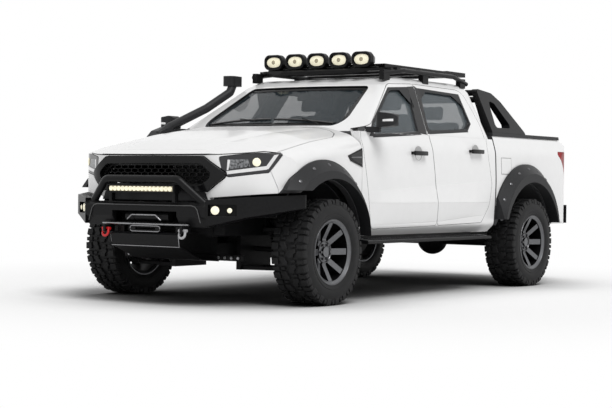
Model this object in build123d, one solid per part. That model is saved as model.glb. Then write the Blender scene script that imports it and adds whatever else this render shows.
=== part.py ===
from build123d import *
import os
from math import cos, sin, tan, radians, pi

os.makedirs("parts", exist_ok=True)

# Lifted four-wheel-drive double-cab pickup with off-road accessories.
# Millimetres. Lengths run from the front axle, forward is +X, left is +Y, the ground is Z = 0.
# The finished pieces are moved so that the middle of the whole length lies over the origin.

# Overall places
wheelbase = 3220.0
front_reach = 970.0
rear_reach = 4295.0
middle_shift = (rear_reach - front_reach) / 2
body_half = 950.0
sill_z = 492.0
belt_z = 1290.0
roof_z = 1792.0
shut_gap = 6.0
seat_gap = 0.3

# Wheels and tyres
tyre_radius = 389.0
tyre_width = 298.0
tread_depth = 15.0
lug_count = 20
wheel_y = 888.0
rim_radius = 238.0
rim_wall = 14.0
rim_bead_radius = 226.0
spoke_count = 8
spoke_width = 46.0
hub_radius = 82.0
kingpin_y = 790.0
arch_radius = 535.0
flare_y = 1042.0
arch_inner_y = 520.0

# Panels
door_wall = 70.0
pillar_wall = 50.0
glass_wall = 5.0
skin_wall = 50.0

# Chassis
rail_y = 430.0
rail_width = 70.0
rail_low_z = 500.0
rail_high_z = 640.0
floor_z = 660.0


def rounded(rows):
    """A face from corner rows (u, v, corner radius). A radius is held to half of its shorter side."""
    edges, ends = [], []
    for place, (u, v, radius) in enumerate(rows):
        here = Vector(u, v)
        back = Vector(*rows[place - 1][:2]) - here
        ahead = Vector(*rows[(place + 1) % len(rows)][:2]) - here
        if radius == 0:
            ends.append((here, None, here))
            continue
        half = radians(back.get_angle(ahead)) / 2
        reach = min(radius / tan(half), 0.48 * back.length, 0.48 * ahead.length)
        radius = reach * tan(half)
        inward = (back.normalized() + ahead.normalized()).normalized()
        middle = here + inward * (radius / sin(half) - radius)
        ends.append((here + back.normalized() * reach, middle, here + ahead.normalized() * reach))
    for place, (first, middle, last) in enumerate(ends):
        if middle is not None:
            edges.append(ThreePointArc(first, middle, last))
        following = ends[(place + 1) % len(ends)][0]
        if (following - last).length > 1e-4:
            edges.append(Line(last, following))
    return make_face(edges)


def both_sides(rows):
    """Rows of (y, z, radius) with their mirror image, for a closed cross-section."""
    return list(rows) + [(-y, z, radius) for y, z, radius in reversed(rows)]


def across(face, y_low, y_high):
    """An (x, z) face drawn out across the vehicle."""
    return Pos(0, y_high, 0) * extrude(Plane.XZ * face, y_high - y_low)


def along(face, x_low, x_high):
    """A (y, z) face drawn out along the vehicle."""
    return Pos(x_low, 0, 0) * extrude(Plane.YZ * face, x_high - x_low)


def upward(face, z_low, z_high):
    """An (x, y) face drawn out upward."""
    return Pos(0, 0, z_low) * extrude(face, z_high - z_low)


def block(x_low, x_high, y_low, y_high, z_low, z_high):
    middle = ((x_low + x_high) / 2, (y_low + y_high) / 2, (z_low + z_high) / 2)
    return Pos(*middle) * Box(x_high - x_low, y_high - y_low, z_high - z_low)


def rod(start, end, radius):
    """A round bar between two points."""
    run = Vector(*end) - Vector(*start)
    return Plane(origin=start, z_dir=run) * Cylinder(
        radius, run.length, align=(Align.CENTER, Align.CENTER, Align.MIN))


def tube(points, bend, radius):
    """A bent round bar through points, with one bend radius."""
    path = FilletPolyline(*points, radius=bend)
    start = Plane(origin=path @ 0, z_dir=path % 0)
    return sweep(start * Circle(radius), path=path)


def both(shape):
    """A shape with its mirror image on the other side of the vehicle."""
    return shape + mirror(shape, about=Plane.XZ)


def right_of(shape):
    return mirror(shape, about=Plane.XZ)


def save(name, shape):
    placed = Pos(middle_shift, 0, 0) * shape
    solids = placed.solids()
    export_step(solids[0] if len(solids) == 1 else Compound(children=solids), f"parts/{name}.step")
    return shape


# Outer form of the lower body. Rows: y, z, corner radius
def side_rows(inset, top_z):
    rows = [
        (body_half - 82 - inset, sill_z + inset, 15),
        (body_half - 18 - inset, sill_z + 62, 60),
        (body_half - inset, 900, 3500),
        (body_half - 12 - inset, 1180, 300),
        (body_half - 44 - inset, belt_z, 0),
    ]
    if top_z > belt_z + 1:
        rows.append((body_half - 56 - inset, top_z, 0))
    return rows


def lower_body(x_low, x_high, inset=0.0, top_z=1350.0):
    return along(rounded(both_sides(side_rows(inset, top_z))), x_low, x_high)


# Cabin above the belt: outlines at a few heights. The windscreen and the sides lean inward.
screen_foot_z = 1356.0
cab_rear_x = -2655.0
cab_front_x = -505.0


def cabin_outline(z, inset, tuck=0.0):
    rise = z - screen_foot_z
    front_x = -524 - 1.771 * rise - 1.9 * inset - 2 * tuck
    corner_x = -702 - 1.602 * rise - 1.9 * inset - 2 * tuck
    corner_y = 865 - 0.515 * rise - inset - tuck
    rear_x = cab_rear_x + inset + tuck
    rear_corner_x = rear_x + 14
    rear_y = corner_y - 8
    face = make_face([
        ThreePointArc((corner_x, corner_y), (front_x, 0), (corner_x, -corner_y)),
        Line((corner_x, -corner_y), (rear_corner_x, -rear_y)),
        ThreePointArc((rear_corner_x, -rear_y), (rear_x, 0), (rear_corner_x, rear_y)),
        Line((rear_corner_x, rear_y), (corner_x, corner_y)),
    ])
    return Pos(0, 0, z) * fillet(face.vertices(), 40)


def cabin(inset, roof_drop):
    """The cabin's closed form, moved in by inset on the sides and down by roof_drop."""
    stages = ((1200.0, 0.0), (1690.0 - roof_drop, 0.0), (1744.0 - roof_drop, 18.0), (1796.0 - roof_drop, 70.0))
    form = loft([cabin_outline(z, inset, tuck) for z, tuck in stages], ruled=True)
    # Roof line from the windscreen to the tail. Rows: x, z, corner radius
    roof_line = rounded([
        (-100, 1190, 0), (-100, 1420, 0), (-1118, 1700 - roof_drop, 60), (-1420, 1757 - roof_drop, 900),
        (-1850, roof_z - roof_drop, 3000), (-2700, 1752 - roof_drop, 0), (-2700, 1190, 0)])
    edge_z = roof_z - 34 - roof_drop
    crown = make_face([
        ThreePointArc((-700, edge_z), (0, roof_z - roof_drop), (700, edge_z)),
        Line((700, edge_z), (1000, edge_z - 60)), Line((1000, edge_z - 60), (1000, 1190)),
        Line((1000, 1190), (-1000, 1190)), Line((-1000, 1190), (-1000, edge_z - 60)),
        Line((-1000, edge_z - 60), (-700, edge_z))])
    return form & across(roof_line, -1000, 1000) & along(crown, -2800, 0)


lower_outer = lower_body(cab_rear_x, cab_front_x, 0, belt_z)
lower_inner = lower_body(cab_rear_x + door_wall, cab_front_x + 10, door_wall, belt_z + 1)
lower_inner = lower_inner & block(cab_rear_x, 0, -2000, 2000, floor_z, 2000)
cabin_outer = cabin(0, 0) & block(-3000, cab_front_x, -2000, 2000, belt_z - 0.5, 2000)
cabin_inner = cabin(pillar_wall, 32) & block(-3000, 0, -2000, 2000, belt_z - 30, 2000)
cab_outer = lower_outer + cabin_outer
cab_wall = cab_outer - lower_inner - cabin_inner

# The doors lie in the side walls only, so a core is taken out along the whole cab
def side_core(inward=0.0):
    lower_y = body_half - door_wall - inward
    foot_y = 865 - 0.515 * (belt_z - screen_foot_z) - pillar_wall - inward
    top_y = 865 - 0.515 * (1760 - screen_foot_z) - pillar_wall - inward
    rows = [(lower_y, floor_z - 300, 0), (lower_y - 8, belt_z - 60, 0), (foot_y, belt_z, 0), (top_y, 1760, 0)]
    return along(rounded(both_sides(rows)), -3000, 0)


door_band = cab_outer - side_core()

# Door and window outlines seen from the side. Rows: x, z, corner radius
front_door_rows = [
    (-660, 541, 60), (-556, 1000, 400), (-512, 1230, 60), (-540, 1300, 40), (-750, 1358, 60),
    (-1262, 1700, 150), (-1690, 1722, 20), (-1562, 1285, 250), (-1612, 940, 300), (-1675, 556, 40)]
rear_door_rows = [
    (-1675, 556, 40), (-1612, 940, 300), (-1562, 1285, 250), (-1690, 1722, 20), (-2500, 1712, 120),
    (-2575, 1420, 200), (-2520, 1180, 200), (-2590, 900, 80), (-2560, 720, 160), (-2430, 572, 60)]
front_window_rows = [(-690, 1272, 20), (-790, 1352, 60), (-1252, 1644, 110), (-1560, 1664, 25), (-1430, 1316, 25)]
rear_window_rows = [
    (-1618, 1330, 25), (-1748, 1664, 25), (-2395, 1650, 90), (-2385, 1430, 60), (-2280, 1368, 50)]


def side_cut(rows, gap=0.0):
    """A left-side cutter from an outline, made smaller by gap."""
    face = rounded(rows)
    if gap:
        face = offset(face, -gap, kind=Kind.INTERSECTION)
    return across(face, 400, 1200)


door_forms = {"front": side_cut(front_door_rows, shut_gap / 2), "rear": side_cut(rear_door_rows, shut_gap / 2)}
window_rows = {"front": front_window_rows, "rear": rear_window_rows}
doors = {}
for place in ("front", "rear"):
    panel = (door_band & door_forms[place]) - side_cut(window_rows[place])
    doors[place] = panel.solids().sort_by(SortBy.VOLUME)[-1]

# Cab shell with its openings
screen_face = rounded([(700, 1335, 70), (578, 1678, 50), (-578, 1678, 50), (-700, 1335, 70)])
rear_glass_face = rounded([(690, 1345, 60), (560, 1640, 60), (-560, 1640, 60), (-690, 1345, 60)])
opening_band = across(rounded(front_door_rows), 300, 1200) + across(rounded(rear_door_rows), 300, 1200)
opening_band = (opening_band - side_core(60)) & block(-3000, 0, 300, 1200, 0, 1745)
cab = cab_wall - both(opening_band)
cab = cab - along(screen_face, -1290, 0) - along(rear_glass_face, cab_rear_x - 50, cab_rear_x + 150)
cab = cab - block(cab_rear_x - 10, cab_front_x + 10, -780, 780, 400, floor_z - 20)
# Pillars between the doors, behind the door edges
pillar_rows = [
    (-1590, 620, 0), (-1530, 1280, 300), (-1650, 1745, 0), (-1760, 1745, 0), (-1630, 1280, 300), (-1700, 620, 0)]
pillar = (side_core(shut_gap) - side_core(60)) & across(rounded(pillar_rows), 300, 1200)
cab = cab + both(pillar)
cab = cab.solids().sort_by(SortBy.VOLUME)[-1]
save("cab", cab)
for place in ("front", "rear"):
    save(f"door_left_{place}", doors[place])
    save(f"door_right_{place}", right_of(doors[place]))

# Front body: one closed form for the bonnet, the fenders and the nose
# Rows: x, crown z, shoulder y, shoulder z, edge y, edge z, side y
front_stations = (
    (cab_front_x + shut_gap, 1336, 600, 1326, 838, 1262, 950),
    (60, 1270, 590, 1260, 836, 1198, 954),
    (480, 1190, 570, 1180, 826, 1132, 950),
    (840, 1080, 500, 1074, 740, 1050, 930),
)
front_low_z = 700.0


def front_section(station, inset):
    x, crown_z, shoulder_y, shoulder_z, edge_y, edge_z, side_y = station
    side = [
        (side_y - 82 - inset, sill_z, 15), (side_y - 18 - inset, sill_z + 62, 60),
        (side_y - inset, 900, 3500), (side_y - 6 - inset, edge_z - 70 - inset, 110),
        (edge_y - inset, edge_z - inset, 220), (shoulder_y, shoulder_z - inset, 800)]
    rows = side + [(0, crown_z - inset, 6000)] + [(-y, z, radius) for y, z, radius in reversed(side)]
    return Pos(x, 0, 0) * (Plane.YZ * rounded(rows))


def front_form(inset):
    form = loft([front_section(station, inset) for station in front_stations], ruled=True)
    return form & upward(front_plan(-inset), 0, 2000)


# The nose seen from above. Rows: x, y, corner radius
nose_rows = [(-600, 956, 0), (380, 956, 400), (600, 835, 400), (790, 540, 300), (824, 0, 2500)]


def front_plan(spread):
    face = rounded(nose_rows + [(x, -y, radius) for x, y, radius in reversed(nose_rows[:-1])])
    return offset(face, spread, kind=Kind.INTERSECTION) if spread else face


front_outer = front_form(0)
front_shell = front_outer - front_form(skin_wall)
front_shell = front_shell - block(-600, 1000, -2000, 2000, 0, sill_z + 1)
front_shell = front_shell - block(-600, 1000, -840, 840, 0, front_low_z)
# The panels end a little above the bull bar. Rows: y, z, corner radius
bar_top_line = rounded([(500, 776, 0), (1200, 843, 0), (1200, 400, 0), (500, 400, 0)])
front_shell = front_shell - both(along(bar_top_line, 300, 1000)) - block(300, 1000, -500, 500, 0, 752)


def wheel_arch(axle_x, radius, inner_y):
    ring = Pos(axle_x, 0, tyre_radius) * (Rot(90, 0, 0) * Cylinder(radius, 2400))
    return ring - block(axle_x - 900, axle_x + 900, -inner_y, inner_y, 0, 2000)


front_shell = front_shell - wheel_arch(0, arch_radius - 6, arch_inner_y)

# The bonnet's edges: from above, and its lower edge from the side
bonnet_rear_x = -425.0
bonnet_side_rows = [
    (bonnet_rear_x, 1120, 0), (330, 1120, 60), (450, 1095, 60), (560, 1108, 60), (860, 1072, 0), (860, 1420, 0),
    (bonnet_rear_x, 1420, 0)]
bonnet_plan_rows = [
    (bonnet_rear_x - 1, 0, 0), (bonnet_rear_x - 1, 700, 0), (-380, 770, 60), (-270, 828, 60), (520, 868, 60),
    (900, 868, 0), (900, 0, 0)]
bonnet_plan = rounded(bonnet_plan_rows)
bonnet_plan = bonnet_plan + mirror(bonnet_plan, about=Plane.XZ)


def bonnet_region(spread):
    plan = offset(bonnet_plan, spread, kind=Kind.INTERSECTION) if spread else bonnet_plan
    side = rounded(bonnet_side_rows)
    side = offset(side, spread, kind=Kind.INTERSECTION) if spread else side
    return upward(plan, 900, 1500) & across(side, -1000, 1000)


bonnet = front_shell & bonnet_region(-shut_gap / 2)
bonnet = bonnet.solids().sort_by(SortBy.VOLUME)[-1]
front_rest = front_shell - bonnet_region(shut_gap / 2)

# Head lamps wrap round the corners. Rows: y, z, corner radius, then x, z, corner radius
lamp_front_rows = [
    (560, 1066, 15), (720, 1090, 60), (960, 1108, 0), (960, 962, 0), (880, 962, 30), (612, 922, 30),
    (585, 960, 60)]
lamp_side_rows = [(452, 1112, 15), (1000, 1112, 0), (1000, 880, 0), (600, 900, 0), (560, 962, 20)]


def lamp_region(gap):
    front = offset(rounded(lamp_front_rows), gap) if gap else rounded(lamp_front_rows)
    side = offset(rounded(lamp_side_rows), gap) if gap else rounded(lamp_side_rows)
    return along(front, 300, 1000) & across(side, 300, 1200)


lamp_left = (front_outer - front_form(skin_wall + 40)) & lamp_region(-2)
lamp_left = lamp_left - bonnet_region(shut_gap)
front_rest = front_rest - both(lamp_region(2))

# Grille: a proud surround with a honeycomb sheet set back in it
grille_outer_rows = [(488, 820, 30), (600, 915, 30), (620, 952, 30), (450, 1070, 40)]
grille_inner_rows = [(430, 862, 30), (505, 905, 50), (520, 950, 60), (440, 1016, 50)]
grille_outer_face = rounded(both_sides(grille_outer_rows))
grille_inner_face = rounded(both_sides(grille_inner_rows))
surround_proud = 22.0
mesh_x = 740.0
mesh_wall = 16.0
cell_pitch_y = 64.0
cell_pitch_z = 36.0
cell_bar = 7.0
surround = along(grille_outer_face - grille_inner_face, 600, 900)
surround = surround & upward(front_plan(surround_proud) - front_plan(-60), 700, 1200)
cells = []
for row in range(-4, 5):
    for column in range(-9, 10):
        y = (column + (row % 2) / 2) * cell_pitch_y
        z = 940 + row * cell_pitch_z * 0.75
        half_y, half_z = (cell_pitch_y - cell_bar) / 2, (cell_pitch_z - cell_bar) / 2
        corners = [(y + half_y * a, z + half_z * b) for a, b in (
            (1, -0.5), (1, 0.5), (0, 1), (-1, 0.5), (-1, -0.5), (0, -1))]
        cells.append(make_face(Polyline(*corners, close=True)))
mesh_border = offset(grille_inner_face, -12)
holes = Sketch(children=[cell & mesh_border for cell in cells if (cell & mesh_border)])
mesh_face = offset(grille_inner_face, -0.4)
grille_mesh = along(mesh_face - holes, mesh_x, mesh_x + mesh_wall)
grille_clearance = along(offset(grille_outer_face, 3), 500, 1000)
front_rest = front_rest - grille_clearance
lamp_left = (lamp_left - grille_clearance).solids().sort_by(SortBy.VOLUME)[-1]
head_lamps = lamp_left + right_of(lamp_left)
grille = surround.solids() + grille_mesh.solids()

# Fenders behind the panel joint, nose panel ahead of it
joint_rows = [(556, 975, 0), (500, 837, 0), (500, 400, 0), (1200, 400, 0), (1200, 1400, 0), (556, 1400, 0)]
joint_face = rounded(joint_rows)
nose_panel = front_rest & across(offset(joint_face, -1.5, kind=Kind.INTERSECTION), -1200, 1200)
fenders = front_rest - across(offset(joint_face, 1.5, kind=Kind.INTERSECTION), -1200, 1200)
nose_panel = [solid for solid in nose_panel.solids() if solid.volume > 2e5]
fenders = [solid for solid in fenders.solids() if solid.volume > 2e6]
save("bonnet", bonnet)
save("fenders", Compound(children=fenders))
save("nose_panel", Compound(children=nose_panel))
save("head_lamps", head_lamps)
save("grille", Compound(children=grille))

# Wheel arch flares: a flat lip inside and a face that slopes back to the body outside
# Rows: axle x, outer ring offset x, offset z, outer radius, body y, front end x, rear end x, lower z
flare_lip_radius = 540.0
flare_rows = (
    (0.0, 33.0, 52.0, 621.0, 926.0, 836.0, 500.0),
    (-wheelbase, 5.0, 70.0, 626.0, 926.0, 600.0, 560.0),
)


def flare(axle_x, ring_x, ring_z, ring_radius, root_y, front_z, rear_z):
    centre_x, centre_z = axle_x + ring_x, tyre_radius + ring_z
    profile = make_face(Polyline(
        (0, root_y), (0, flare_y), (flare_lip_radius, flare_y), (ring_radius, body_half + 14),
        (ring_radius, root_y), close=True))
    form = Pos(centre_x, 0, centre_z) * revolve(profile, axis=Axis.Y)
    form = form - wheel_arch(axle_x, arch_radius, 10)
    form = form - block(axle_x, axle_x + 900, 0, 2000, -900, front_z)
    return form - block(axle_x - 900, axle_x, 0, 2000, -900, rear_z)


front_flare = flare(*flare_rows[0]) - front_form(0) - lower_body(cab_rear_x, cab_front_x + 1, 0, belt_z)
rear_flare_form = flare(*flare_rows[1])

# Load bed
bed_front_x = -2673.0
bed_rear_x = -4165.0
bed_top_z = 1322.0
bed_floor_z = 850.0
bed_inner_y = 770.0
bed_low_z = 545.0
gate_wall = 56.0
gate_low_z = 748.0
gate_half = 752.0
lamp_wall = 60.0
bed_side_rows = [
    (bed_front_x, bed_low_z, 0), (bed_rear_x, bed_low_z, 30), (bed_rear_x, 1225, 60), (-3985, bed_top_z, 200),
    (bed_front_x, bed_top_z, 0)]
bed_plan_rows = [
    (bed_front_x, 1000, 0), (-3850, 1000, 0), (-3850, 960, 300), (-4110, 915, 90), (bed_rear_x, 780, 60),
    (bed_rear_x, 0, 0), (bed_front_x, 0, 0)]
bed_plan = rounded(bed_plan_rows)
bed_plan = bed_plan + mirror(bed_plan, about=Plane.XZ)
bed_outer = lower_body(bed_rear_x, bed_front_x, 0, bed_top_z) & across(rounded(bed_side_rows), -1000, 1000)
bed_outer = bed_outer & upward(bed_plan, 0, 2000)
gate_room = gate_half + shut_gap
bed_wall_x = bed_front_x - 60
gate_front_x = bed_rear_x + gate_wall
bed = bed_outer - block(gate_front_x, bed_wall_x, -bed_inner_y, bed_inner_y, bed_floor_z - 30, 2000)
bed = bed - block(bed_rear_x - 1, bed_wall_x, -gate_room, gate_room, bed_floor_z - 30, 2000)
bed = bed - block(bed_rear_x - 1, gate_front_x + shut_gap, -gate_room, gate_room, gate_low_z - shut_gap, 2000)
bed = bed - block(bed_rear_x - 1, bed_front_x + 1, -bed_inner_y - 60, bed_inner_y + 60, 0, bed_floor_z - 60)
bed = bed - wheel_arch(-wheelbase, arch_radius - 6, 560)
# Tail lamps wrap round the rear corners. Rows: x, z, corner radius
tail_lamp_rows = [(-3868, 1214, 20), (-4300, 1214, 0), (-4300, 872, 0), (-4085, 872, 30), (-4060, 1060, 200)]
tail_cut = across(rounded(tail_lamp_rows), 790, 1200)
tail_form = across(offset(rounded(tail_lamp_rows), -2), 792, 1200)
tail_core = lower_body(bed_rear_x + lamp_wall, 0, lamp_wall, bed_top_z)
tail_core = tail_core & upward(offset(bed_plan, -lamp_wall, kind=Kind.INTERSECTION), 0, 2000)
tail_lamp = (bed_outer & tail_form) - tail_core
tail_lamp = tail_lamp.solids().sort_by(SortBy.VOLUME)[-1]
bed = bed - both((bed_outer & tail_cut) - tail_core)
bed = bed.solids().sort_by(SortBy.VOLUME)[-1]
tailgate = block(bed_rear_x, bed_rear_x + gate_wall, -gate_half, gate_half, gate_low_z, bed_top_z)
tailgate = fillet(tailgate.edges().filter_by(Axis.Y), 8)
liner_y = bed_inner_y - 0.4
bed_liner = block(gate_front_x + 8, bed_wall_x - 0.4, -liner_y, liner_y, bed_floor_z - 29.6, bed_floor_z)
house_half = 560.0
bed_liner = bed_liner + both(
    block(-wheelbase - house_half, bed_wall_x - 0.4, 560, liner_y, bed_floor_z - 10, 1000))
bed_liner = bed_liner - wheel_arch(-wheelbase, arch_radius + 20, 575)
rear_flare = rear_flare_form - bed_outer - block(bed_front_x - 4, 0, 0, 2000, -1000, 2000)

# Black caps on the bed's top edges
cap_high = 30.0
cap_low_z = bed_top_z + seat_gap
cap_left = lower_body(-3990, bed_front_x, -4, bed_top_z + cap_high)
cap_left = cap_left & block(-3990, bed_front_x, 0, 1000, cap_low_z, bed_top_z + cap_high)
rail_caps = both(cap_left - block(-4200, 0, -2000, bed_inner_y - 6, 0, 2000))
gate_cap = block(bed_rear_x, gate_front_x, -gate_half, gate_half, cap_low_z, bed_top_z + 18)

# Rear bumper with its step and a drilled towing tongue
bumper_rows = [
    (bed_rear_x - 8, 720, 12), (-rear_reach, 700, 25), (-rear_reach, 600, 30), (-4255, 548, 20),
    (bed_rear_x - 8, 548, 12)]
bumper_plan = rounded([
    (bed_rear_x + 60, -905, 0), (-4200, -905, 80), (-rear_reach, -760, 80), (-rear_reach, 760, 80),
    (-4200, 905, 80), (bed_rear_x + 60, 905, 0)])
rear_bumper = across(rounded(bumper_rows), -905, 905) & upward(bumper_plan, 0, 2000)
tongue_hole_radius = 11.0
tongue_wall = 14.0
tongue_z = 572.0
tongue_x = -4250.0
rear_bumper = rear_bumper - block(-rear_reach - 5, -4205, -95, 95, 500, 800)
tongue = block(tongue_x - 40, -4190, -50, 50, tongue_z - tongue_wall / 2, tongue_z + tongue_wall / 2)
tongue = tongue - Pos(tongue_x, 0, tongue_z) * Cylinder(tongue_hole_radius, 100)
rear_bumper = rear_bumper + tongue

# Sports bar behind the cab
cap_top_z = bed_top_z + cap_high
fin_rows = [
    (-2700, cap_top_z + seat_gap, 0), (-2700, 1742, 40), (-2960, 1712, 80), (-3080, 1640, 80),
    (-3330, 1375, 30), (-3330, cap_top_z + seat_gap, 0)]
fin_window_rows = [(-2800, 1400, 30), (-2850, 1640, 40), (-2940, 1620, 60), (-3110, 1400, 30)]
fin_lean = rounded([(800, cap_top_z, 0), (888, cap_top_z, 0), (705, 1760, 0), (655, 1760, 0)])
fin = across(rounded(fin_rows) - rounded(fin_window_rows), 400, 1000) & along(fin_lean, -3400, -2600)
sports_bar = both(fin)
for x, z, y in ((-2745, 1705, 690), (-2990, 1660, 712)):
    sports_bar = sports_bar + rod((x, -y, z), (x, y, z), 27)

# Roof rack: side rails on feet, cross bars, a deck frame and a front deflector
rack_rail_rows = ((-1260, 640, 1782), (-1560, 660, 1822), (-2400, 660, 1822), (-2660, 640, 1775))
rail_path_left = [(x, y, z) for x, y, z in rack_rail_rows]
roof_rail = tube(rail_path_left, 90, 19)
rack_bar_x = (-1480, -1800, -2120, -2440)
rack = both(roof_rail)
for x in rack_bar_x:
    rack = rack + block(x - 28, x + 28, -665, 665, 1822, 1846)
deck = block(-2560, -1430, -560, 560, 1846, 1876) - block(-2530, -1460, -530, 530, 1800, 1900)
for y in (-320, -110, 110, 320):
    deck = deck + block(-2540, -1440, y - 20, y + 20, 1850, 1874)
deck = deck + both(block(-2860, -2530, 480, 520, 1850, 1888)) + block(-2860, -2820, -520, 520, 1850, 1888)
rack = rack + deck
deflector_rows = [
    (-1255, 1788, 8), (-1225, 1812, 12), (-1250, 1830, 8), (-1430, 1838, 6), (-1430, 1826, 6), (-1300, 1814, 10)]
deflector_plan = rounded([
    (-1440, -590, 0), (-1330, -625, 60), (-1222, -300, 300), (-1222, 300, 300), (-1330, 625, 60),
    (-1440, 590, 0)])
deflector = across(rounded(deflector_rows), -620, 620) & upward(deflector_plan, 1700, 1900)
rack = rack + deflector + both(block(-1410, -1370, 585, 655, 1792, 1836))
for x in (-1310, -1930, -2570):
    rack = rack + both(block(x - 45, x + 45, 612, 656, 1734, 1815) - Pos(0, 0, seat_gap) * cab_outer)
lamp_carrier_z = 1850.0
lamp_spacing = 219.0
lamp_half_y, lamp_half_z, lamp_depth = 92.0, 63.0, 120.0
lamp_z = 1903.0
lamp_face_x = -1258.0
lamp_count = 5
carrier = rod((-1350, -545, lamp_carrier_z - 12), (-1350, 545, lamp_carrier_z - 12), 12)
rack = rack + carrier
roof_lamps = []
lamp_outline = RectangleRounded(2 * lamp_half_y, 2 * lamp_half_z, 50)
lamp_lens = offset(lamp_outline, -16)
lamp_back = offset(lamp_outline, -30)
for place in range(lamp_count):
    y = (place - (lamp_count - 1) / 2) * lamp_spacing
    front = Pos(lamp_face_x - 50, y, lamp_z) * extrude(Plane.YZ * lamp_outline, 50)
    rear = loft([
        Pos(lamp_face_x - lamp_depth, y, lamp_z) * (Plane.YZ * lamp_back),
        Pos(lamp_face_x - 50, y, lamp_z) * (Plane.YZ * lamp_outline)], ruled=True)
    lens_pocket = Pos(lamp_face_x - 14, y, lamp_z) * extrude(Plane.YZ * lamp_lens, 20)
    foot = block(-1362, -1338, y - 14, y + 14, lamp_carrier_z + seat_gap, lamp_z - 40)
    roof_lamps.append(front + rear - lens_pocket + foot)

# Snorkel on the right: a body on the fender, a pipe up the pillar and a ram head
pipe_radius = 36.0
snorkel = tube([
    (-330, -905, 1262), (-470, -908, 1335), (-640, -903, 1398), (-870, -842, 1504), (-1100, -770, 1650),
    (-1160, -785, 1720)], 60, pipe_radius)
snorkel_foot = rounded([
    (-300, 1165, 30), (-250, 1230, 40), (-330, 1300, 40), (-480, 1345, 30), (-480, 1165, 30)])
snorkel = snorkel + across(snorkel_foot, -985, -872)
head_plan = rounded([(-1090, -860, 40), (-1090, -735, 40), (-1260, -755, 30), (-1260, -840, 30)])
snorkel = snorkel + upward(head_plan, 1705, 1790)
snorkel = snorkel - Pos(0, -seat_gap, seat_gap) * front_outer - Pos(0, -seat_gap, seat_gap) * cab_outer
snorkel = snorkel.solids().sort_by(SortBy.VOLUME)[-1]

# Bull bar: centre channel with a winch opening, angled wings, a hoop and shackle tabs
bar_front_x = 915.0
bar_rear_x = 800.0
bar_top_z = 742.0
bar_low_z = 568.0
centre_rows = [
    (bar_rear_x, bar_top_z, 0), (bar_front_x - 25, bar_top_z, 12), (bar_front_x, bar_top_z - 28, 10),
    (bar_front_x - 5, 640, 0), (bar_front_x - 50, bar_low_z, 0), (bar_rear_x, bar_low_z, 0)]
horn_y = 560.0
centre = across(rounded(centre_rows), -horn_y, horn_y)
centre = centre - block(bar_rear_x - 1, bar_front_x + 1, -300, 300, 594, 676)
centre = centre - block(bar_rear_x - 1, bar_rear_x + 66, -horn_y + 60, horn_y - 60, 590, bar_top_z - 12)
wing_plan_rows = [
    (bar_front_x - 3, horn_y, 0), (742, 792, 60), (322, 1030, 30), (318, 955, 20), (650, 760, 60),
    (780, horn_y, 0)]
wing_front_rows = [(horn_y - 2, 575, 0), (1040, 716, 0), (1040, 808, 30), (horn_y - 2, 762, 0)]
wing = upward(rounded(wing_plan_rows), 500, 900) & along(rounded(wing_front_rows), 200, 1000)
recess = Plane(origin=(845, 655, 690), x_dir=Vector(-173, 232, 0), z_dir=Vector(232, 173, 0))
wing = wing - recess * Pos(0, 0, -12) * Box(200, 80, 60)
hoop_radius = 28.0
hoop_y, hoop_top_z, hoop_x = 335.0, 905.0, 942.0
hoop = tube([
    (868, 520, bar_top_z - 8), (hoop_x, hoop_y, hoop_top_z), (hoop_x, -hoop_y, hoop_top_z),
    (868, -520, bar_top_z - 8)], 75, hoop_radius)
tabs = both(block(bar_front_x - 90, bar_front_x + 20, 348, 366, 520, bar_low_z + 2))
tab_hole = Pos(bar_front_x - 8, 0, 542) * (Rot(90, 0, 0) * Cylinder(12, 1000))
bull_bar = centre + both(wing) + hoop + (tabs - tab_hole)
bull_bar = bull_bar + both(block(700, bar_rear_x + 1, 395, 475, 560, 700))

# Lamps in the bar
led_half, led_low_z, led_high_z, led_front_x = 302.0, 805.0, 865.0, 958.0
light_bar = block(led_front_x - 62, led_front_x, -led_half - 12, led_half + 12, led_low_z, led_high_z)
light_bar = light_bar - block(led_front_x - 8, led_front_x + 1, -led_half, led_half, led_low_z + 8, led_high_z - 8)
light_bar = light_bar + both(
    block(led_front_x - 60, led_front_x - 20, led_half - 20, led_half + 4, bar_top_z + seat_gap, led_low_z + 1))
bar_lamps = light_bar.solids()
for shift, size in ((-50, 34), (52, 20)):
    wing_lamp = recess * Pos(shift, 0, -42 + seat_gap) * Cylinder(
        size, 34, align=(Align.CENTER, Align.CENTER, Align.MIN))
    bar_lamps += both(wing_lamp).solids()

# Winch with its fairlead, and bow shackles in the tabs
winch = Pos(845, 0, 635) * (Rot(90, 0, 0) * Cylinder(34, 240))
winch = winch + both(Pos(845, 160, 635) * (Rot(90, 0, 0) * Cylinder(38, 80)))
winch = winch + block(800.4, 850, -110, 110, 604, 612)
fairlead_ring = RectangleRounded(280, 40, 18) - RectangleRounded(190, 18, 8)
fairlead = Pos(bar_front_x - 42, 0, 549) * extrude(Plane.YZ * fairlead_ring, 22)
fairlead = fairlead + block(bar_front_x - 60, bar_front_x - 41, -130, 130, 560, bar_low_z - seat_gap)
shackles = []
for y in (-357, 357):
    bow = tube([
        (bar_front_x - 8, y - 22, 545), (bar_front_x + 8, y - 28, 490), (bar_front_x + 8, y + 28, 490),
        (bar_front_x - 8, y + 22, 545)], 24, 9)
    pin = rod((bar_front_x - 8, y - 36, 542), (bar_front_x - 8, y + 36, 542), 11)
    shackles.append(bow + pin)

# Skid plate under the nose
skid_rows = [
    (700, 528, 0), (880, 524, 10), (912, 506, 10), (892, 424, 30), (642, 326, 40), (430, 310, 0), (430, 318, 0),
    (640, 335, 40), (884, 430, 30), (903, 502, 10), (876, 516, 0), (700, 520, 0)]
skid_plate = across(rounded(skid_rows), -312, 312)
skid_plate = skid_plate + both(block(bar_rear_x + 5, bar_rear_x + 45, 240, 300, 518, bar_low_z - seat_gap))

# Arch liners
liner_wall = 8.0


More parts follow.
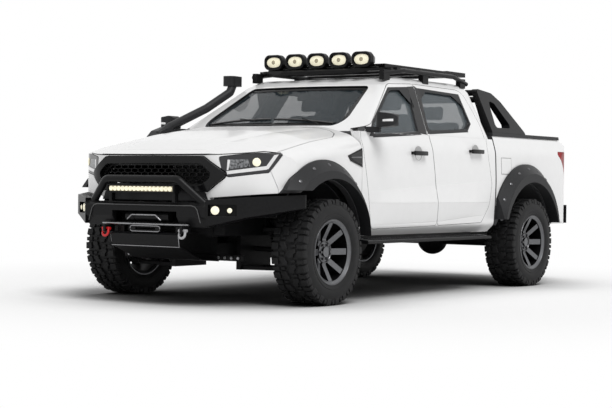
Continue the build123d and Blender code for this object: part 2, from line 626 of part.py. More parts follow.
def arch_liner(axle_x, inner_y, outer_y, low_z):
    shell = wheel_arch(axle_x, arch_radius - 8, 10) - wheel_arch(axle_x, arch_radius - 8 - liner_wall, 10)
    shell = shell & block(axle_x - 900, axle_x + 900, inner_y, outer_y, low_z, 2000)
    return shell


front_liner = arch_liner(0, arch_inner_y, body_half - skin_wall - 60, 640)
rear_liner = arch_liner(-wheelbase, 577, body_half - 20, 600)

# Side steps on brackets
step_rows = [(880, 474, 6), (1012, 462, 12), (1012, 436, 10), (880, 440, 6)]
side_step = along(rounded(step_rows), -2470, -500)
rail_side_y = rail_y + rail_width / 2
for x in (-760, -1500, -2240):
    side_step = side_step + block(x - 30, x + 30, rail_side_y + seat_gap, 890, 446, 466)
    side_step = side_step + block(x - 30, x + 30, rail_side_y + seat_gap, rail_side_y + 18, 446, 570)
side_steps = both(side_step)

flares = both(front_flare).solids() + both(rear_flare).solids()
for name, shape in (
        ("flares", Compound(children=flares)), ("load_bed", bed), ("bed_liner", bed_liner),
        ("tailgate", Compound(children=[tailgate, gate_cap])), ("tail_lamps", both(tail_lamp)),
        ("rail_caps", rail_caps), ("rear_bumper", rear_bumper), ("sports_bar", sports_bar),
        ("roof_rack", rack), ("roof_lamps", Compound(children=roof_lamps)), ("snorkel", snorkel),
        ("bull_bar", bull_bar), ("bar_lamps", Compound(children=bar_lamps)), ("winch", winch + fairlead),
        ("shackles", Compound(children=shackles)), ("skid_plate", skid_plate),
        ("arch_liners", both(front_liner) + both(rear_liner)), ("side_steps", side_steps)):
    save(name, shape)

# Glass panes follow the cabin's surface a little below it
def pane(face_region, outer_inset=9.0, wall=glass_wall):
    outer = cabin(outer_inset, 10) & block(-3000, 0, -2000, 2000, belt_z - 60, 2000)
    inner = cabin(outer_inset + wall, 20)
    return (outer - inner) & face_region


glass_gap = 0.5
screen_glass = pane(along(offset(screen_face, -glass_gap, kind=Kind.INTERSECTION), -1290, 0))
rear_glass = pane(
    along(offset(rear_glass_face, -glass_gap, kind=Kind.INTERSECTION), cab_rear_x - 50, cab_rear_x + 60))
fixed_glass = [max(piece.solids(), key=lambda solid: solid.volume) for piece in (screen_glass, rear_glass)]
side_glass_y = 865 - 0.515 * (belt_z - screen_foot_z) - 20
side_glass_top_y = 865 - 0.515 * (1760 - screen_foot_z) - 20
glass_slab = along(rounded([
    (side_glass_y + 12, belt_z - 30, 0), (side_glass_y, belt_z, 0), (side_glass_top_y, 1760, 0),
    (side_glass_top_y - glass_wall, 1760, 0), (side_glass_y - glass_wall, belt_z, 0),
    (side_glass_y + 12 - glass_wall, belt_z - 30, 0)]), -3000, 0)
door_glass = {place: glass_slab & side_cut(rows, glass_gap) for place, rows in window_rows.items()}

# Mirrors on the front doors
mirror_case_plan = rounded([
    (-600, 985, 50), (-606, 1125, 50), (-680, 1148, 30), (-712, 1140, 15), (-712, 975, 15)])
mirror_case_front = rounded([(970, 1318, 40), (1150, 1330, 50), (1150, 1420, 40), (985, 1442, 50)])
mirror_case = upward(mirror_case_plan, 1280, 1460) & along(mirror_case_front, -800, -500)
mirror_foot = upward(rounded([(-610, 893, 0), (-625, 1010, 20), (-675, 1010, 20), (-690, 893, 0)]), 1284, 1326)
door_mirror = mirror_case + mirror_foot
door_mirror = door_mirror - cab_outer - side_core(-60)

# Cabin: floor and bulkheads, dashboard, seats and steering wheel
cabin_floor = block(cab_front_x - 20, cab_front_x - 0.4, -860, 860, floor_z + seat_gap, belt_z + 20)
cabin_floor = cabin_floor & lower_body(-2000, 0, door_wall + 1, belt_z)
cabin_floor_z = floor_z + seat_gap
tunnel_rows = [
    (-525.4, cabin_floor_z, 0), (-525.4, 860, 0), (-760, 820, 60), (-1500, 800, 30), (-1500, cabin_floor_z, 0)]
tunnel = across(rounded(tunnel_rows), -130, 130)
dash_rows = [
    (-530, 1285, 0), (-600, 1300, 40), (-800, 1275, 60), (-905, 1215, 50), (-880, 1120, 60), (-800, 980, 80),
    (-620, 940, 60), (-530, 940, 0)]
dashboard = across(rounded(dash_rows), -790, 790)
dashboard = dashboard & lower_body(-2000, 0, door_wall + 12, belt_z + 30)
dashboard = dashboard & (block(-2000, 0, -1000, 1000, 0, belt_z - 31) + cabin(pillar_wall + 2, 34))
seat_side_rows = [
    (-1150, 900, 60), (-1150, 1010, 60), (-1560, 985, 40), (-1720, 1480, 60), (-1830, 1480, 50),
    (-1700, 980, 60), (-1660, 870, 60)]
head_rest_rows = [(-1735, 1505, 30), (-1760, 1640, 40), (-1850, 1640, 40), (-1830, 1505, 30)]
bench_rows = [
    (-1990, 910, 60), (-1990, 1020, 60), (-2360, 1000, 40), (-2480, 1440, 50), (-2560, 1440, 40), (-2540, 880, 60)]
rear_rest_rows = [(-2480, 1455, 30), (-2495, 1580, 30), (-2565, 1580, 30), (-2555, 1455, 30)]
seats = []
rear_seat = [
    across(rounded(bench_rows), -650, 650), block(-2500, -2050, -640, 640, cabin_floor_z, 880)]
for y in (-370, 370):
    seats.append(across(rounded(seat_side_rows), y - 250, y + 250))
    seats.append(across(rounded(head_rest_rows), y - 125, y + 125))
    seats.append(block(-1640, -1200, y - 200, y + 200, cabin_floor_z, 868))
    rear_seat.append(across(rounded(rear_rest_rows), y - 115, y + 115))
wheel_x, steer_y, wheel_z = -975.0, -370.0, 1185.0
wheel_tilt = radians(25)
steering_plane = Plane(
    origin=(wheel_x, steer_y, wheel_z), x_dir=(0, 1, 0), z_dir=(-cos(wheel_tilt), 0, sin(wheel_tilt)))
steering_wheel = steering_plane * Torus(185, 15)
for turn in (0, 90, 180):
    steering_wheel = steering_wheel + steering_plane * Rot(0, 0, turn) * Pos(90, 0, -4) * Box(190, 34, 14)
steering_wheel = steering_wheel + steering_plane * Pos(0, 0, -14) * Cylinder(62, 46)
steering_column = steering_plane * Pos(0, 0, -42) * Cylinder(34, 130, align=(Align.CENTER, Align.CENTER, Align.MAX))

# Ladder chassis with cross-members
rail_front_x, rail_rear_x = 700.0 - seat_gap, bed_rear_x - 8 + seat_gap
rail = block(rail_rear_x, rail_front_x, rail_y - rail_width / 2, rail_y + rail_width / 2, rail_low_z, rail_high_z)
rail = rail - block(-3640, -2800, 0, 1000, 0, rail_low_z + 40)
frame = both(rail)
# Cross-members. Rows: x, half length, low z, high z
cross_rows = (
    (560, 45, 560, 620), (-1170, 40, 600, 632), (-1920, 45, 570, 630), (-2560, 45, 560, 630),
    (-4139, 11, 520, 620))
for x, half, low_z, high_z in cross_rows:
    frame = frame + block(x - half, x + half, -rail_y, rail_y, low_z, high_z)
mount_x = (-700, -1500, -2300)
for x in mount_x:
    frame = frame + both(block(x - 40, x + 40, rail_y, 600, rail_high_z - 30, rail_high_z - seat_gap))
for x in (-2800, -3300, -4000):
    frame = frame + both(block(x - 40, x + 40, rail_y - 35, rail_y + 35, rail_high_z - 2, bed_floor_z - 60 - seat_gap))
engine = block(-380, 300, -210, 210, 560, 1080)
gearbox = rod((-380.3, 0, 640), (-900, 0, 600), 120) + block(-1080, -880, -180, 200, 500, 640)
gearbox = gearbox - block(cab_rear_x, -380.3, -400, 400, floor_z - 25, 1200) - block(-380.3, 0, -400, 400, 0, 1200)

# Front suspension: differential, half shafts, arms and dampers; the knuckles turn on the arms
axle_z = tyre_radius
upper_joint_z, lower_joint_z = axle_z + 140, axle_z - 122
diff_y = 150.0
front_suspension = Pos(0, 40, axle_z + 10) * (Rot(90, 0, 0) * Cylinder(105, 170))
front_suspension = front_suspension + rod((0, -diff_y - 160, axle_z + 5), (0, diff_y + 160, axle_z + 5), 38)
half_shaft = rod((0, diff_y + 155, axle_z + 5), (0, 700, axle_z), 20)
arm_rows_low = [(-170, 300, 20), (170, 300, 20), (40, 790, 30), (-40, 790, 30)]
arm_rows_high = [(-120, 470, 15), (120, 470, 15), (34, 790, 25), (-34, 790, 25)]
ball_wall = 26.0
low_window = rounded([(-105, 345, 15), (105, 345, 15), (12, 640, 10), (-12, 640, 10)])
high_window = rounded([(-70, 500, 12), (70, 500, 12), (10, 660, 8), (-10, 660, 8)])
low_arm_z, high_arm_z = lower_joint_z - ball_wall - seat_gap, upper_joint_z + seat_gap
low_arm = upward(rounded(arm_rows_low) - low_window, low_arm_z, low_arm_z + ball_wall)
high_arm = upward(rounded(arm_rows_high) - high_window, high_arm_z, high_arm_z + ball_wall)
low_mount = block(-190, 190, 290, 330, lower_joint_z - ball_wall, rail_low_z + 30)
high_mount = block(-130, 130, rail_side_y - 10, 480, rail_low_z, upper_joint_z + ball_wall)
damper = rod((0, 560, lower_joint_z - 4), (0, 510, 740), 44)
spring_tower = block(-80, 80, rail_side_y + seat_gap, 545, 725, 760)
spring_tower = spring_tower + block(-80, 80, rail_side_y + seat_gap, rail_side_y + 12, 560, 760)
suspension_left = low_arm + high_arm + low_mount + half_shaft + damper + spring_tower
front_suspension = front_suspension + both(suspension_left)
front_suspension = front_suspension - both(block(
    -900, 900, rail_y - rail_width / 2 - seat_gap, rail_side_y + seat_gap, rail_low_z - seat_gap,
    rail_high_z + seat_gap))

knuckle = Pos(0, 0, axle_z) * (Rot(90, 0, 0) * Cylinder(58, 92))
knuckle = Pos(0, 770, 0) * knuckle
knuckle = knuckle + block(-26, 26, kingpin_y - 26, kingpin_y + 20, lower_joint_z, upper_joint_z)
brake_y, brake_wall, brake_radius = 838.0, 24.0, 150.0
hub_face_y = 872.0
brake = Pos(0, brake_y, axle_z) * (Rot(90, 0, 0) * Cylinder(brake_radius, brake_wall))
hub_post = Pos(0, (816 + hub_face_y) / 2, axle_z) * (Rot(90, 0, 0) * Cylinder(50, hub_face_y - 816))
knuckle_left = knuckle + brake + hub_post

# Rear axle on leaf springs
rear_x = -wheelbase
rear_axle = rod((rear_x, -hub_face_y, axle_z), (rear_x, hub_face_y, axle_z), 45)
rear_axle = rear_axle + Pos(rear_x, 0, axle_z) * (Rot(90, 0, 0) * Sphere(140))
rear_axle = rear_axle + both(Pos(rear_x, 820, axle_z) * (Rot(90, 0, 0) * Cylinder(145, 60)))
leaf_y = 500.0
leaf_rows = [
    (rear_x + 660, 545, 0), (rear_x + 300, 468, 300), (rear_x - 300, 468, 300), (rear_x - 660, 560, 0),
    (rear_x - 660, 540, 0), (rear_x - 300, 436, 300), (rear_x + 300, 436, 300), (rear_x + 660, 525, 0)]
leaves = across(rounded(leaf_rows), leaf_y - 30, leaf_y + 30)
hangers = block(rear_x + 620, rear_x + 680, rail_side_y + seat_gap, leaf_y + 34, 500, 600)
hangers = hangers + block(rear_x - 680, rear_x - 620, rail_side_y + seat_gap, leaf_y + 34, 510, 600)
rear_axle = rear_axle + both(leaves + hangers)

# Shafts, exhaust and tank
front_shaft = rod((-110, 60, axle_z + 20), (-868, 158, 538), 30)
rear_shaft = rod((-1084, 0, 556), (rear_x + 148, 0, axle_z + 20), 36)
exhaust_z = 520.0
exhaust = rod((-420, 290, exhaust_z), (-2900, 290, exhaust_z), 28)
exhaust = exhaust + rod((-1230, 290, exhaust_z), (-1830, 290, exhaust_z), 75)
fuel_tank = block(-2180, -1570, -775, -rail_side_y - 6, 500, 610)
fuel_tank = fillet(fuel_tank.edges().filter_by(Axis.X), 30)
spare_x, spare_z = -3745.0, 590.0
spare_half = 115.0
spare_profile = make_face(Polyline(
    (35, -50), (150, -70), (225, -85), (300, -spare_half), (365, -100), (380, -70), (380, 70), (365, 100),
    (300, spare_half), (225, 85), (150, 20), (35, 20), close=True))
spare_wheel = Pos(spare_x, 0, spare_z) * revolve(Plane.XZ * spare_profile, axis=Axis.Z)

# Wheels: tyres of flats with two rows of offset lugs, and eight flat spokes in a deep rim
tyre_half = tyre_width / 2
groove_radius = tyre_radius - tread_depth
shoulder_half = tyre_half - 16
lug_half = tyre_half - 7
lug_root_radius = 335.0
flat_angle = pi / lug_count
bore_radius = rim_bead_radius + 0.7
# Tyre sections across the wheel. Rows: y, radius
carcass_rows = (
    (-tyre_half, 314), (-shoulder_half, groove_radius), (shoulder_half, groove_radius), (tyre_half, 314))
bead_rows = (
    (-tyre_half - 1, 308), (12 - tyre_half, rim_bead_radius + 20), (34 - tyre_half, bore_radius),
    (tyre_half - 34, bore_radius), (tyre_half - 12, rim_bead_radius + 20), (tyre_half + 1, 308))


def flat_form(rows):
    """A form of flats round the wheel's axis, through sections of y and radius."""
    sections = []
    for y, radius in rows:
        corners = [
            (radius * cos(place * flat_angle), radius * sin(place * flat_angle))
            for place in range(2 * lug_count)]
        sections.append(Pos(0, y, 0) * (Plane.XZ * make_face(Polyline(*corners, close=True))))
    return loft(sections, ruled=True)


def lug_ring(first, y_low, y_high):
    """A ring with a lug on every second flat, from the first."""
    corners = []
    for place in range(lug_count):
        start = (2 * place + first) * flat_angle
        end = start + flat_angle
        for radius, angle in (
                (lug_root_radius, start), (tyre_radius, start), (tyre_radius, end), (lug_root_radius, end)):
            corners.append((radius * cos(angle), radius * sin(angle)))
    return across(make_face(Polyline(*corners, close=True)), y_low, y_high)


def tyre_solid():
    tyre = flat_form(carcass_rows) + lug_ring(0, 2, lug_half) + lug_ring(1, -lug_half, -2)
    return tyre - flat_form(bead_rows)


def rim_solid():
    outer = rim_bead_radius - seat_gap
    lip = tyre_half - 34 + 1
    barrel = make_face(Polyline(
        (outer, -lip), (outer, lip), (rim_radius + 3, lip + 16.5), (rim_radius + 3, lip + 21),
        (rim_radius - 8, lip + 22), (outer - rim_wall, tyre_half - 26), (outer - rim_wall, -tyre_half + 30),
        (rim_radius - 8, -lip - 19), (rim_radius, -lip - 19), (rim_radius, -lip - 13), close=True))
    rim = revolve(barrel, axis=Axis.Y)
    disc_y = hub_face_y - wheel_y + seat_gap
    spoke_face = make_face(Polyline(
        (40, disc_y + 2), (40, 62), (95, 58), (outer - rim_wall - 6, tyre_half - 34), (outer - rim_wall + 4, tyre_half - 34),
        (outer - rim_wall + 4, tyre_half - 68), (120, 22), (90, disc_y + 2), close=True))
    spoke = extrude(spoke_face, spoke_width / 2, both=True)
    for place in range(spoke_count):
        rim = rim + Rot(0, place * 360 / spoke_count, 0) * spoke
    hub = Pos(0, (disc_y + 60) / 2, 0) * (Rot(90, 0, 0) * Cylinder(hub_radius, 60 - disc_y))
    cap = Pos(0, 66, 0) * (Rot(90, 0, 0) * Cylinder(36, 20))
    return rim + hub + cap


tyre_left = tyre_solid()
rim_left = rim_solid()
wheel_places = (("front", 0.0), ("rear", -wheelbase))
for place, x in wheel_places:
    tyre = Pos(x, wheel_y, tyre_radius) * tyre_left
    rim = Pos(x, wheel_y, tyre_radius) * rim_left
    save(f"tyre_{place}_left", tyre)
    save(f"tyre_{place}_right", right_of(tyre))
    save(f"rim_{place}_left", rim)
    save(f"rim_{place}_right", right_of(rim))

for place in ("front", "rear"):
    save(f"glass_{place}_left", door_glass[place])
    save(f"glass_{place}_right", right_of(door_glass[place]))
for name, shape in (
        ("fixed_glass", Compound(children=fixed_glass)), ("mirror_left", door_mirror),
        ("mirror_right", right_of(door_mirror)), ("cabin_floor", cabin_floor + tunnel),
        ("dashboard", dashboard + steering_column), ("seats", Compound(children=seats)),
        ("rear_seat", Compound(children=rear_seat)), ("steering_wheel", steering_wheel), ("chassis", frame),
        ("engine", engine), ("gearbox", gearbox), ("front_suspension", front_suspension),
        ("knuckle_left", knuckle_left), ("knuckle_right", right_of(knuckle_left)), ("rear_axle", rear_axle),
        ("drive_shafts", Compound(children=[front_shaft, rear_shaft])), ("exhaust", exhaust),
        ("fuel_tank", fuel_tank), ("spare_wheel", spare_wheel)):
    save(name, shape)
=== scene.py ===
import bmesh
import bpy
from math import atan2, cos, pi, radians, sin, sqrt, tau
from mathutils import Matrix, Quaternion, Vector
from mathutils.bvhtree import BVHTree


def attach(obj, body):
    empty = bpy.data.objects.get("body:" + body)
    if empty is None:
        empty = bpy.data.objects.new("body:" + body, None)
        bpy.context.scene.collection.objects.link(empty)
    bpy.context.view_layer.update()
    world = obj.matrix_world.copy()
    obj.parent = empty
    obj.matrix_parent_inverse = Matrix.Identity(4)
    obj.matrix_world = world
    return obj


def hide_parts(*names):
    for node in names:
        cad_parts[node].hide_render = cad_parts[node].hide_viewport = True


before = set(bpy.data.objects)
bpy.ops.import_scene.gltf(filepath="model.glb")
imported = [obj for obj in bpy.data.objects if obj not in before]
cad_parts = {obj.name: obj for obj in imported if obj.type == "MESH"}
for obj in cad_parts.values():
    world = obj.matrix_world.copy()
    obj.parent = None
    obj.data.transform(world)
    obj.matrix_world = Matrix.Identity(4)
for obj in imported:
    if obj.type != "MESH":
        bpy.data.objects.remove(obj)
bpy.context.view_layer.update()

# The studio: a white floor without an end, a white surround and one broad soft lamp overhead, as in a
# plain product photograph taken low down from the vehicle's left front corner.
surround_strength = 0.44
lamp_strength = 2.05
lamp_breadth = radians(30)
lamp_direction = Vector((-0.30, -0.50, -0.82))
lens_length, film_width, clip_distance = 93.7, 36, 2000
camera_place = Vector((11.3115, 7.413, 0.879))
camera_turn = radians(-145.5)
camera_tilt = radians(-0.7)
camera_roll = radians(0.74)
floor_radius = 400
# Floor colours: plain white, and the darkest colour of the shadow painted under the vehicle.
floor_white, painted_shadow_colour = (0.97, 0.97, 0.97, 1), (0.05, 0.05, 0.05, 1)
shade_reach = 1.1
fade_start, fade_end = 2.6, 5.5


def feed(tree, node, inputs):
    """Sets each input of a node to its value, or links it to the socket that feeds it."""
    for name, value in inputs.items():
        if isinstance(value, bpy.types.NodeSocket):
            tree.links.new(value, node.inputs[name])
        else:
            node.inputs[name].default_value = value
    return node


def shader_node(tree, kind, inputs=None, **settings):
    """A new node of a kind, with its settings and its inputs."""
    node = tree.nodes.new("ShaderNode" + kind)
    for setting, value in settings.items():
        setattr(node, setting, value)
    return feed(tree, node, inputs or {})


def shade(material, inputs):
    """Values or sockets for a material's own shader."""
    feed(material.node_tree, material.node_tree.nodes["Principled BSDF"], inputs)


def ramp_colours(ramp, rows):
    """The two ends of a ramp. Rows: position, colour."""
    for element, (position, colour) in zip(ramp.color_ramp.elements, rows):
        element.position = position
        element.color = colour


def white_where_seen(tree, lit, output):
    """Plain white for the camera, for gloss and for glass; the lit shader for everything else."""
    path = shader_node(tree, "LightPath")
    white = shader_node(tree, "Background", {"Color": (1, 1, 1, 1)})
    seen = path.outputs["Is Camera Ray"]
    for ray in ("Is Glossy Ray", "Is Transmission Ray"):
        seen = shader_node(tree, "Math", {0: seen, 1: path.outputs[ray]}, operation="MAXIMUM").outputs[0]
    mix = shader_node(tree, "MixShader", {"Fac": seen, 1: lit, 2: white.outputs[0]})
    tree.links.new(mix.outputs[0], output)


world = bpy.data.worlds.new("white_surround")
world.use_nodes = True
world_nodes = world.node_tree.nodes
surround = feed(
    world.node_tree, world_nodes["Background"], {"Color": (1, 1, 1, 1), "Strength": surround_strength})
white_where_seen(world.node_tree, surround.outputs[0], world_nodes["World Output"].inputs["Surface"])
bpy.context.scene.world = world
bpy.context.scene.view_settings.view_transform = "Standard"

floor_form = bmesh.new()
bmesh.ops.create_circle(floor_form, cap_ends=True, segments=64, radius=floor_radius)
floor_mesh = bpy.data.meshes.new("studio_floor")
floor_form.to_mesh(floor_mesh)
studio_floor = bpy.data.objects.new("studio_floor", floor_mesh)
bpy.context.collection.objects.link(studio_floor)
floor_paint = bpy.data.materials.new("white_floor")
floor_paint.use_nodes = True
floor_tree = floor_paint.node_tree
# Painted shadow: the floor's colour darkens by ambient occlusion close under the vehicle, and is plain white
# further out than the shadow reaches
floor_occlusion = shader_node(floor_tree, "AmbientOcclusion", {"Distance": shade_reach}, samples=12)
painted_floor_shadow = shader_node(floor_tree, "ValToRGB", {"Fac": floor_occlusion.outputs["AO"]})
ramp_colours(painted_floor_shadow, ((0.12, painted_shadow_colour), (0.9, floor_white)))
shade(floor_paint, {"Base Color": painted_floor_shadow.outputs["Color"], "Roughness": 1.0, "Specular IOR Level": 0.0})
floor_lit = floor_tree.nodes["Principled BSDF"].outputs[0]
floor_glow = shader_node(floor_tree, "Emission", {"Strength": 1.0})
floor_place = shader_node(floor_tree, "TexCoord")
floor_reach = shader_node(floor_tree, "VectorMath", {0: floor_place.outputs["Object"]}, operation="LENGTH")
floor_fade = shader_node(
    floor_tree, "MapRange",
    {"From Min": fade_start, "From Max": fade_end, "Value": floor_reach.outputs["Value"]},
    interpolation_type="SMOOTHSTEP")
floor_mix = shader_node(
    floor_tree, "MixShader", {"Fac": floor_fade.outputs[0], 1: floor_lit, 2: floor_glow.outputs[0]})
floor_path = shader_node(floor_tree, "LightPath")
floor_seen = shader_node(
    floor_tree, "MixShader",
    {"Fac": floor_path.outputs["Is Camera Ray"], 1: floor_lit, 2: floor_mix.outputs[0]})
feed(floor_tree, floor_tree.nodes["Material Output"], {"Surface": floor_seen.outputs[0]})
floor_mesh.materials.append(floor_paint)

overhead = bpy.data.lights.new("overhead", "SUN")
overhead.energy = lamp_strength
overhead.angle = lamp_breadth
overhead_lamp = bpy.data.objects.new("overhead", overhead)
overhead_lamp.rotation_mode = "QUATERNION"
overhead_lamp.rotation_quaternion = lamp_direction.to_track_quat("-Z", "Y")
bpy.context.collection.objects.link(overhead_lamp)

camera_data = bpy.data.cameras.new("camera")
camera_data.lens = lens_length
camera_data.sensor_width = film_width
camera_data.clip_end = clip_distance
camera = bpy.data.objects.new("camera", camera_data)
look = Vector((cos(camera_tilt) * cos(camera_turn), cos(camera_tilt) * sin(camera_turn), sin(camera_tilt)))
camera.rotation_mode = "QUATERNION"
camera.rotation_quaternion = look.to_track_quat("-Z", "Y") @ Quaternion((0, 0, 1), camera_roll)
camera.location = camera_place
bpy.context.collection.objects.link(camera)
bpy.context.scene.camera = camera

# Painted body panels: cab, doors, bonnet, fenders, nose, load bed and tailgate are pressed steel under
# white gloss enamel. Except on the tailgate, their inner faces and the faces along the shut lines are
# coloured dark: the seals, and painted shade in the gaps and on the inner faces.
# Places along the vehicle are given from the front axle.
root = "vehicle"
axle_x = 1.6625
arch_reach = 0.598
enamel_colour = (0.80, 0.80, 0.80)
# Dark colour for the seals, and painted shade in the gaps between panels and on their inner faces.
seal_and_shade_colour, seal_and_shade_roughness = (0.022, 0.022, 0.024), 0.6


def surface(name, colour, roughness, metallic=0.0, grain=120.0, spread=0.08, rough_spread=0.06, bump=0.0,
            specular=0.5, edge=0.0):
    """A finish whose colour and roughness drift a little, with a fine bump and softly rounded edges."""
    material = bpy.data.materials.new(name)
    material.use_nodes = True
    tree = material.node_tree
    place = shader_node(tree, "TexCoord").outputs["Object"]
    drift = shader_node(tree, "TexNoise", {"Scale": grain / 12, "Detail": 4, "Vector": place}).outputs["Fac"]
    tones = shader_node(tree, "ValToRGB", {"Fac": drift}, name="tones")
    ramp_colours(tones, [
        (position, (*[min(1, part * share) for part in colour], 1))
        for position, share in ((0.3, 1 - spread), (0.7, 1 + spread))])
    low, high = max(0.02, roughness - rough_spread), min(1, roughness + rough_spread)
    dull = shader_node(tree, "MapRange", {"To Min": low, "To Max": high, "Value": drift}, name="dull")
    shade(material, {
        "Base Color": tones.outputs["Color"], "Roughness": dull.outputs[0], "Metallic": metallic,
        "Specular IOR Level": specular})
    if bump:
        fine = shader_node(tree, "TexNoise", {"Scale": grain, "Detail": 3, "Vector": place})
        relief = shader_node(
            tree, "Bump", {"Strength": bump, "Distance": 0.4 / grain, "Height": fine.outputs["Fac"]})
        shade(material, {"Normal": relief.outputs["Normal"]})
        if edge:
            rounded = shader_node(tree, "Bevel", {"Radius": edge}, samples=6)
            feed(tree, relief, {"Normal": rounded.outputs["Normal"]})
    return material


def over_part(material, mask, colour, roughness):
    """A second colour and roughness where the mask is 0; the finish itself stays where it is 1."""
    tree = material.node_tree
    tones, dull = tree.nodes["tones"].outputs["Color"], tree.nodes["dull"].outputs[0]
    blend = shader_node(tree, "Mix", {"A": (*colour, 1), "B": tones, "Factor": mask}, data_type="RGBA")
    rough = shader_node(tree, "Mix", {"A": roughness, "B": dull, "Factor": mask})
    shade(material, {"Base Color": blend.outputs["Result"], "Roughness": rough.outputs["Result"]})


def reckon(material, operation, first, second=None, kind="Math"):
    """The results of one step of arithmetic on sockets, numbers or vectors."""
    inputs = {0: first} if second is None else {0: first, 1: second}
    return shader_node(material.node_tree, kind, inputs, operation=operation).outputs


def sideways(material, measure):
    """The share across the vehicle of a surface's place or direction."""
    place = material.node_tree.nodes["Texture Coordinate"].outputs[measure]
    return shader_node(material.node_tree, "SeparateXYZ", {0: place}).outputs["Y"]


def white_enamel(name):
    return surface(
        name, enamel_colour, 0.2, grain=150, spread=0.01, rough_spread=0.03, bump=0.02, edge=0.004)


def panel_enamel(name, middle, flatten, arch=None, least=0.3):
    """White enamel on the faces that look away from a middle point. The others are dark, for the seals and
    as painted shade in the gaps and on inner faces, and so is all inside a wheel arch."""
    material = white_enamel(name)
    place = shader_node(material.node_tree, "TexCoord").outputs
    away = reckon(material, "SUBTRACT", place["Object"], middle, "VectorMath")
    scaled = reckon(material, "MULTIPLY", away[0], flatten, "VectorMath")
    unit = reckon(material, "NORMALIZE", scaled[0], kind="VectorMath")
    facing = reckon(material, "DOT_PRODUCT", unit[0], place["Normal"], "VectorMath")
    outside = reckon(material, "GREATER_THAN", facing["Value"], least)[0]
    if arch:
        from_arch = reckon(material, "SUBTRACT", place["Object"], arch, "VectorMath")
        in_side_view = reckon(material, "MULTIPLY", from_arch[0], (1, 0, 1), "VectorMath")
        reach = reckon(material, "LENGTH", in_side_view[0], kind="VectorMath")
        beyond = reckon(material, "GREATER_THAN", reach["Value"], arch_reach)[0]
        outside = reckon(material, "MULTIPLY", outside, beyond)[0]
    over_part(material, outside, seal_and_shade_colour, seal_and_shade_roughness)
    return material


def dress(material, *nodes):
    """Gives the solids' own surfaces their finish."""
    for node in nodes:
        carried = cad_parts[node].data
        carried.materials.clear()
        carried.materials.append(material)


def along_axle(x):
    return axle_x + x


cab_enamel = panel_enamel("cab_enamel", (along_axle(-1.62), 0, 1.12), (0.45, 1.0, 1.3))
door_enamel = panel_enamel("door_enamel", (along_axle(-1.55), 0, 1.1), (0.12, 1.0, 0.2), least=0.62)
front_enamel = panel_enamel(
    "front_enamel", (along_axle(-0.35), 0, 0.72), (0.5, 0.9, 1.2), (along_axle(0.033), 0, 0.441))
bonnet_enamel = panel_enamel("bonnet_enamel", (along_axle(0.1), 0, 0.2), (0.35, 0.45, 1.0))
bed_enamel = panel_enamel(
    "bed_enamel", (along_axle(-3.35), 0, 1.0), (0.4, 1.0, 0.6), (along_axle(-3.215), 0, 0.459))
gate_enamel = white_enamel("gate_enamel")
dress(cab_enamel, "cab")
dress(door_enamel, "door_left_front", "door_left_rear", "door_right_front", "door_right_rear")
dress(bonnet_enamel, "bonnet")
dress(front_enamel, "fenders", "nose_panel")
dress(bed_enamel, "load_bed")
dress(gate_enamel, "tailgate")

# Black accessories: bar, rack, sports bar, bumper and steps are bent and welded steel under satin
# powder coat; flares, caps, liners, snorkel and mirror shells are moulded from grained plastic.
powder_coat = surface(
    "powder_coat", (0.006, 0.006, 0.0065), 0.32, grain=700, spread=0.2, rough_spread=0.06, bump=0.06,
    specular=0.14, edge=0.006)
grained_plastic = surface(
    "grained_plastic", (0.014, 0.0143, 0.0155), 0.46, grain=900, spread=0.2, rough_spread=0.06, bump=0.12,
    specular=0.22, edge=0.005)
gloss_black = surface(
    "gloss_black", (0.006, 0.006, 0.0065), 0.16, grain=200, spread=0.15, rough_spread=0.03, bump=0.01,
    specular=0.2, edge=0.006)
# Grey enamel: painted shade on the door handle bowls, whose own enamel is white.
bowl_painted_shade = surface(
    "bowl_painted_shade", (0.42, 0.42, 0.42), 0.25, grain=150, spread=0.01, rough_spread=0.03, bump=0.02)
dress(powder_coat, "rear_bumper", "sports_bar", "roof_rack", "roof_lamps", "bull_bar", "bar_lamps", "winch",
      "skid_plate", "side_steps")
dress(grained_plastic, "flares", "bed_liner", "rail_caps", "snorkel", "mirror_left", "mirror_right",
      "arch_liners", "fuel_tank")
dress(gloss_black, "grille")

# Running gear: the ladder chassis, axles and arms are under satin frame paint; the engine, gearbox and
# knuckles are bare castings; the exhaust is dull steel; one shackle is red, the other galvanised.
frame_paint = surface(
    "frame_paint", (0.008, 0.008, 0.0085), 0.5, grain=300, spread=0.3, rough_spread=0.12, bump=0.12,
    specular=0.12)
bare_casting = surface(
    "bare_casting", (0.05, 0.05, 0.052), 0.6, 0.5, grain=420, spread=0.25, rough_spread=0.15, bump=0.25)
dull_steel = surface(
    "dull_steel", (0.3, 0.29, 0.28), 0.42, 0.9, grain=200, spread=0.2, rough_spread=0.15, bump=0.08)
shackle_paint = surface("shackle_paint", (0.5, 0.01, 0.012), 0.3, grain=300, spread=0.1, bump=0.04)
right_side = reckon(shackle_paint, "LESS_THAN", sideways(shackle_paint, "Object"), 0.0)[0]
over_part(shackle_paint, right_side, (0.4, 0.4, 0.41), 0.3)
dress(frame_paint, "chassis", "front_suspension", "rear_axle", "drive_shafts")
dress(bare_casting, "engine", "gearbox", "knuckle_left", "knuckle_right")
dress(dull_steel, "exhaust")
dress(shackle_paint, "shackles")

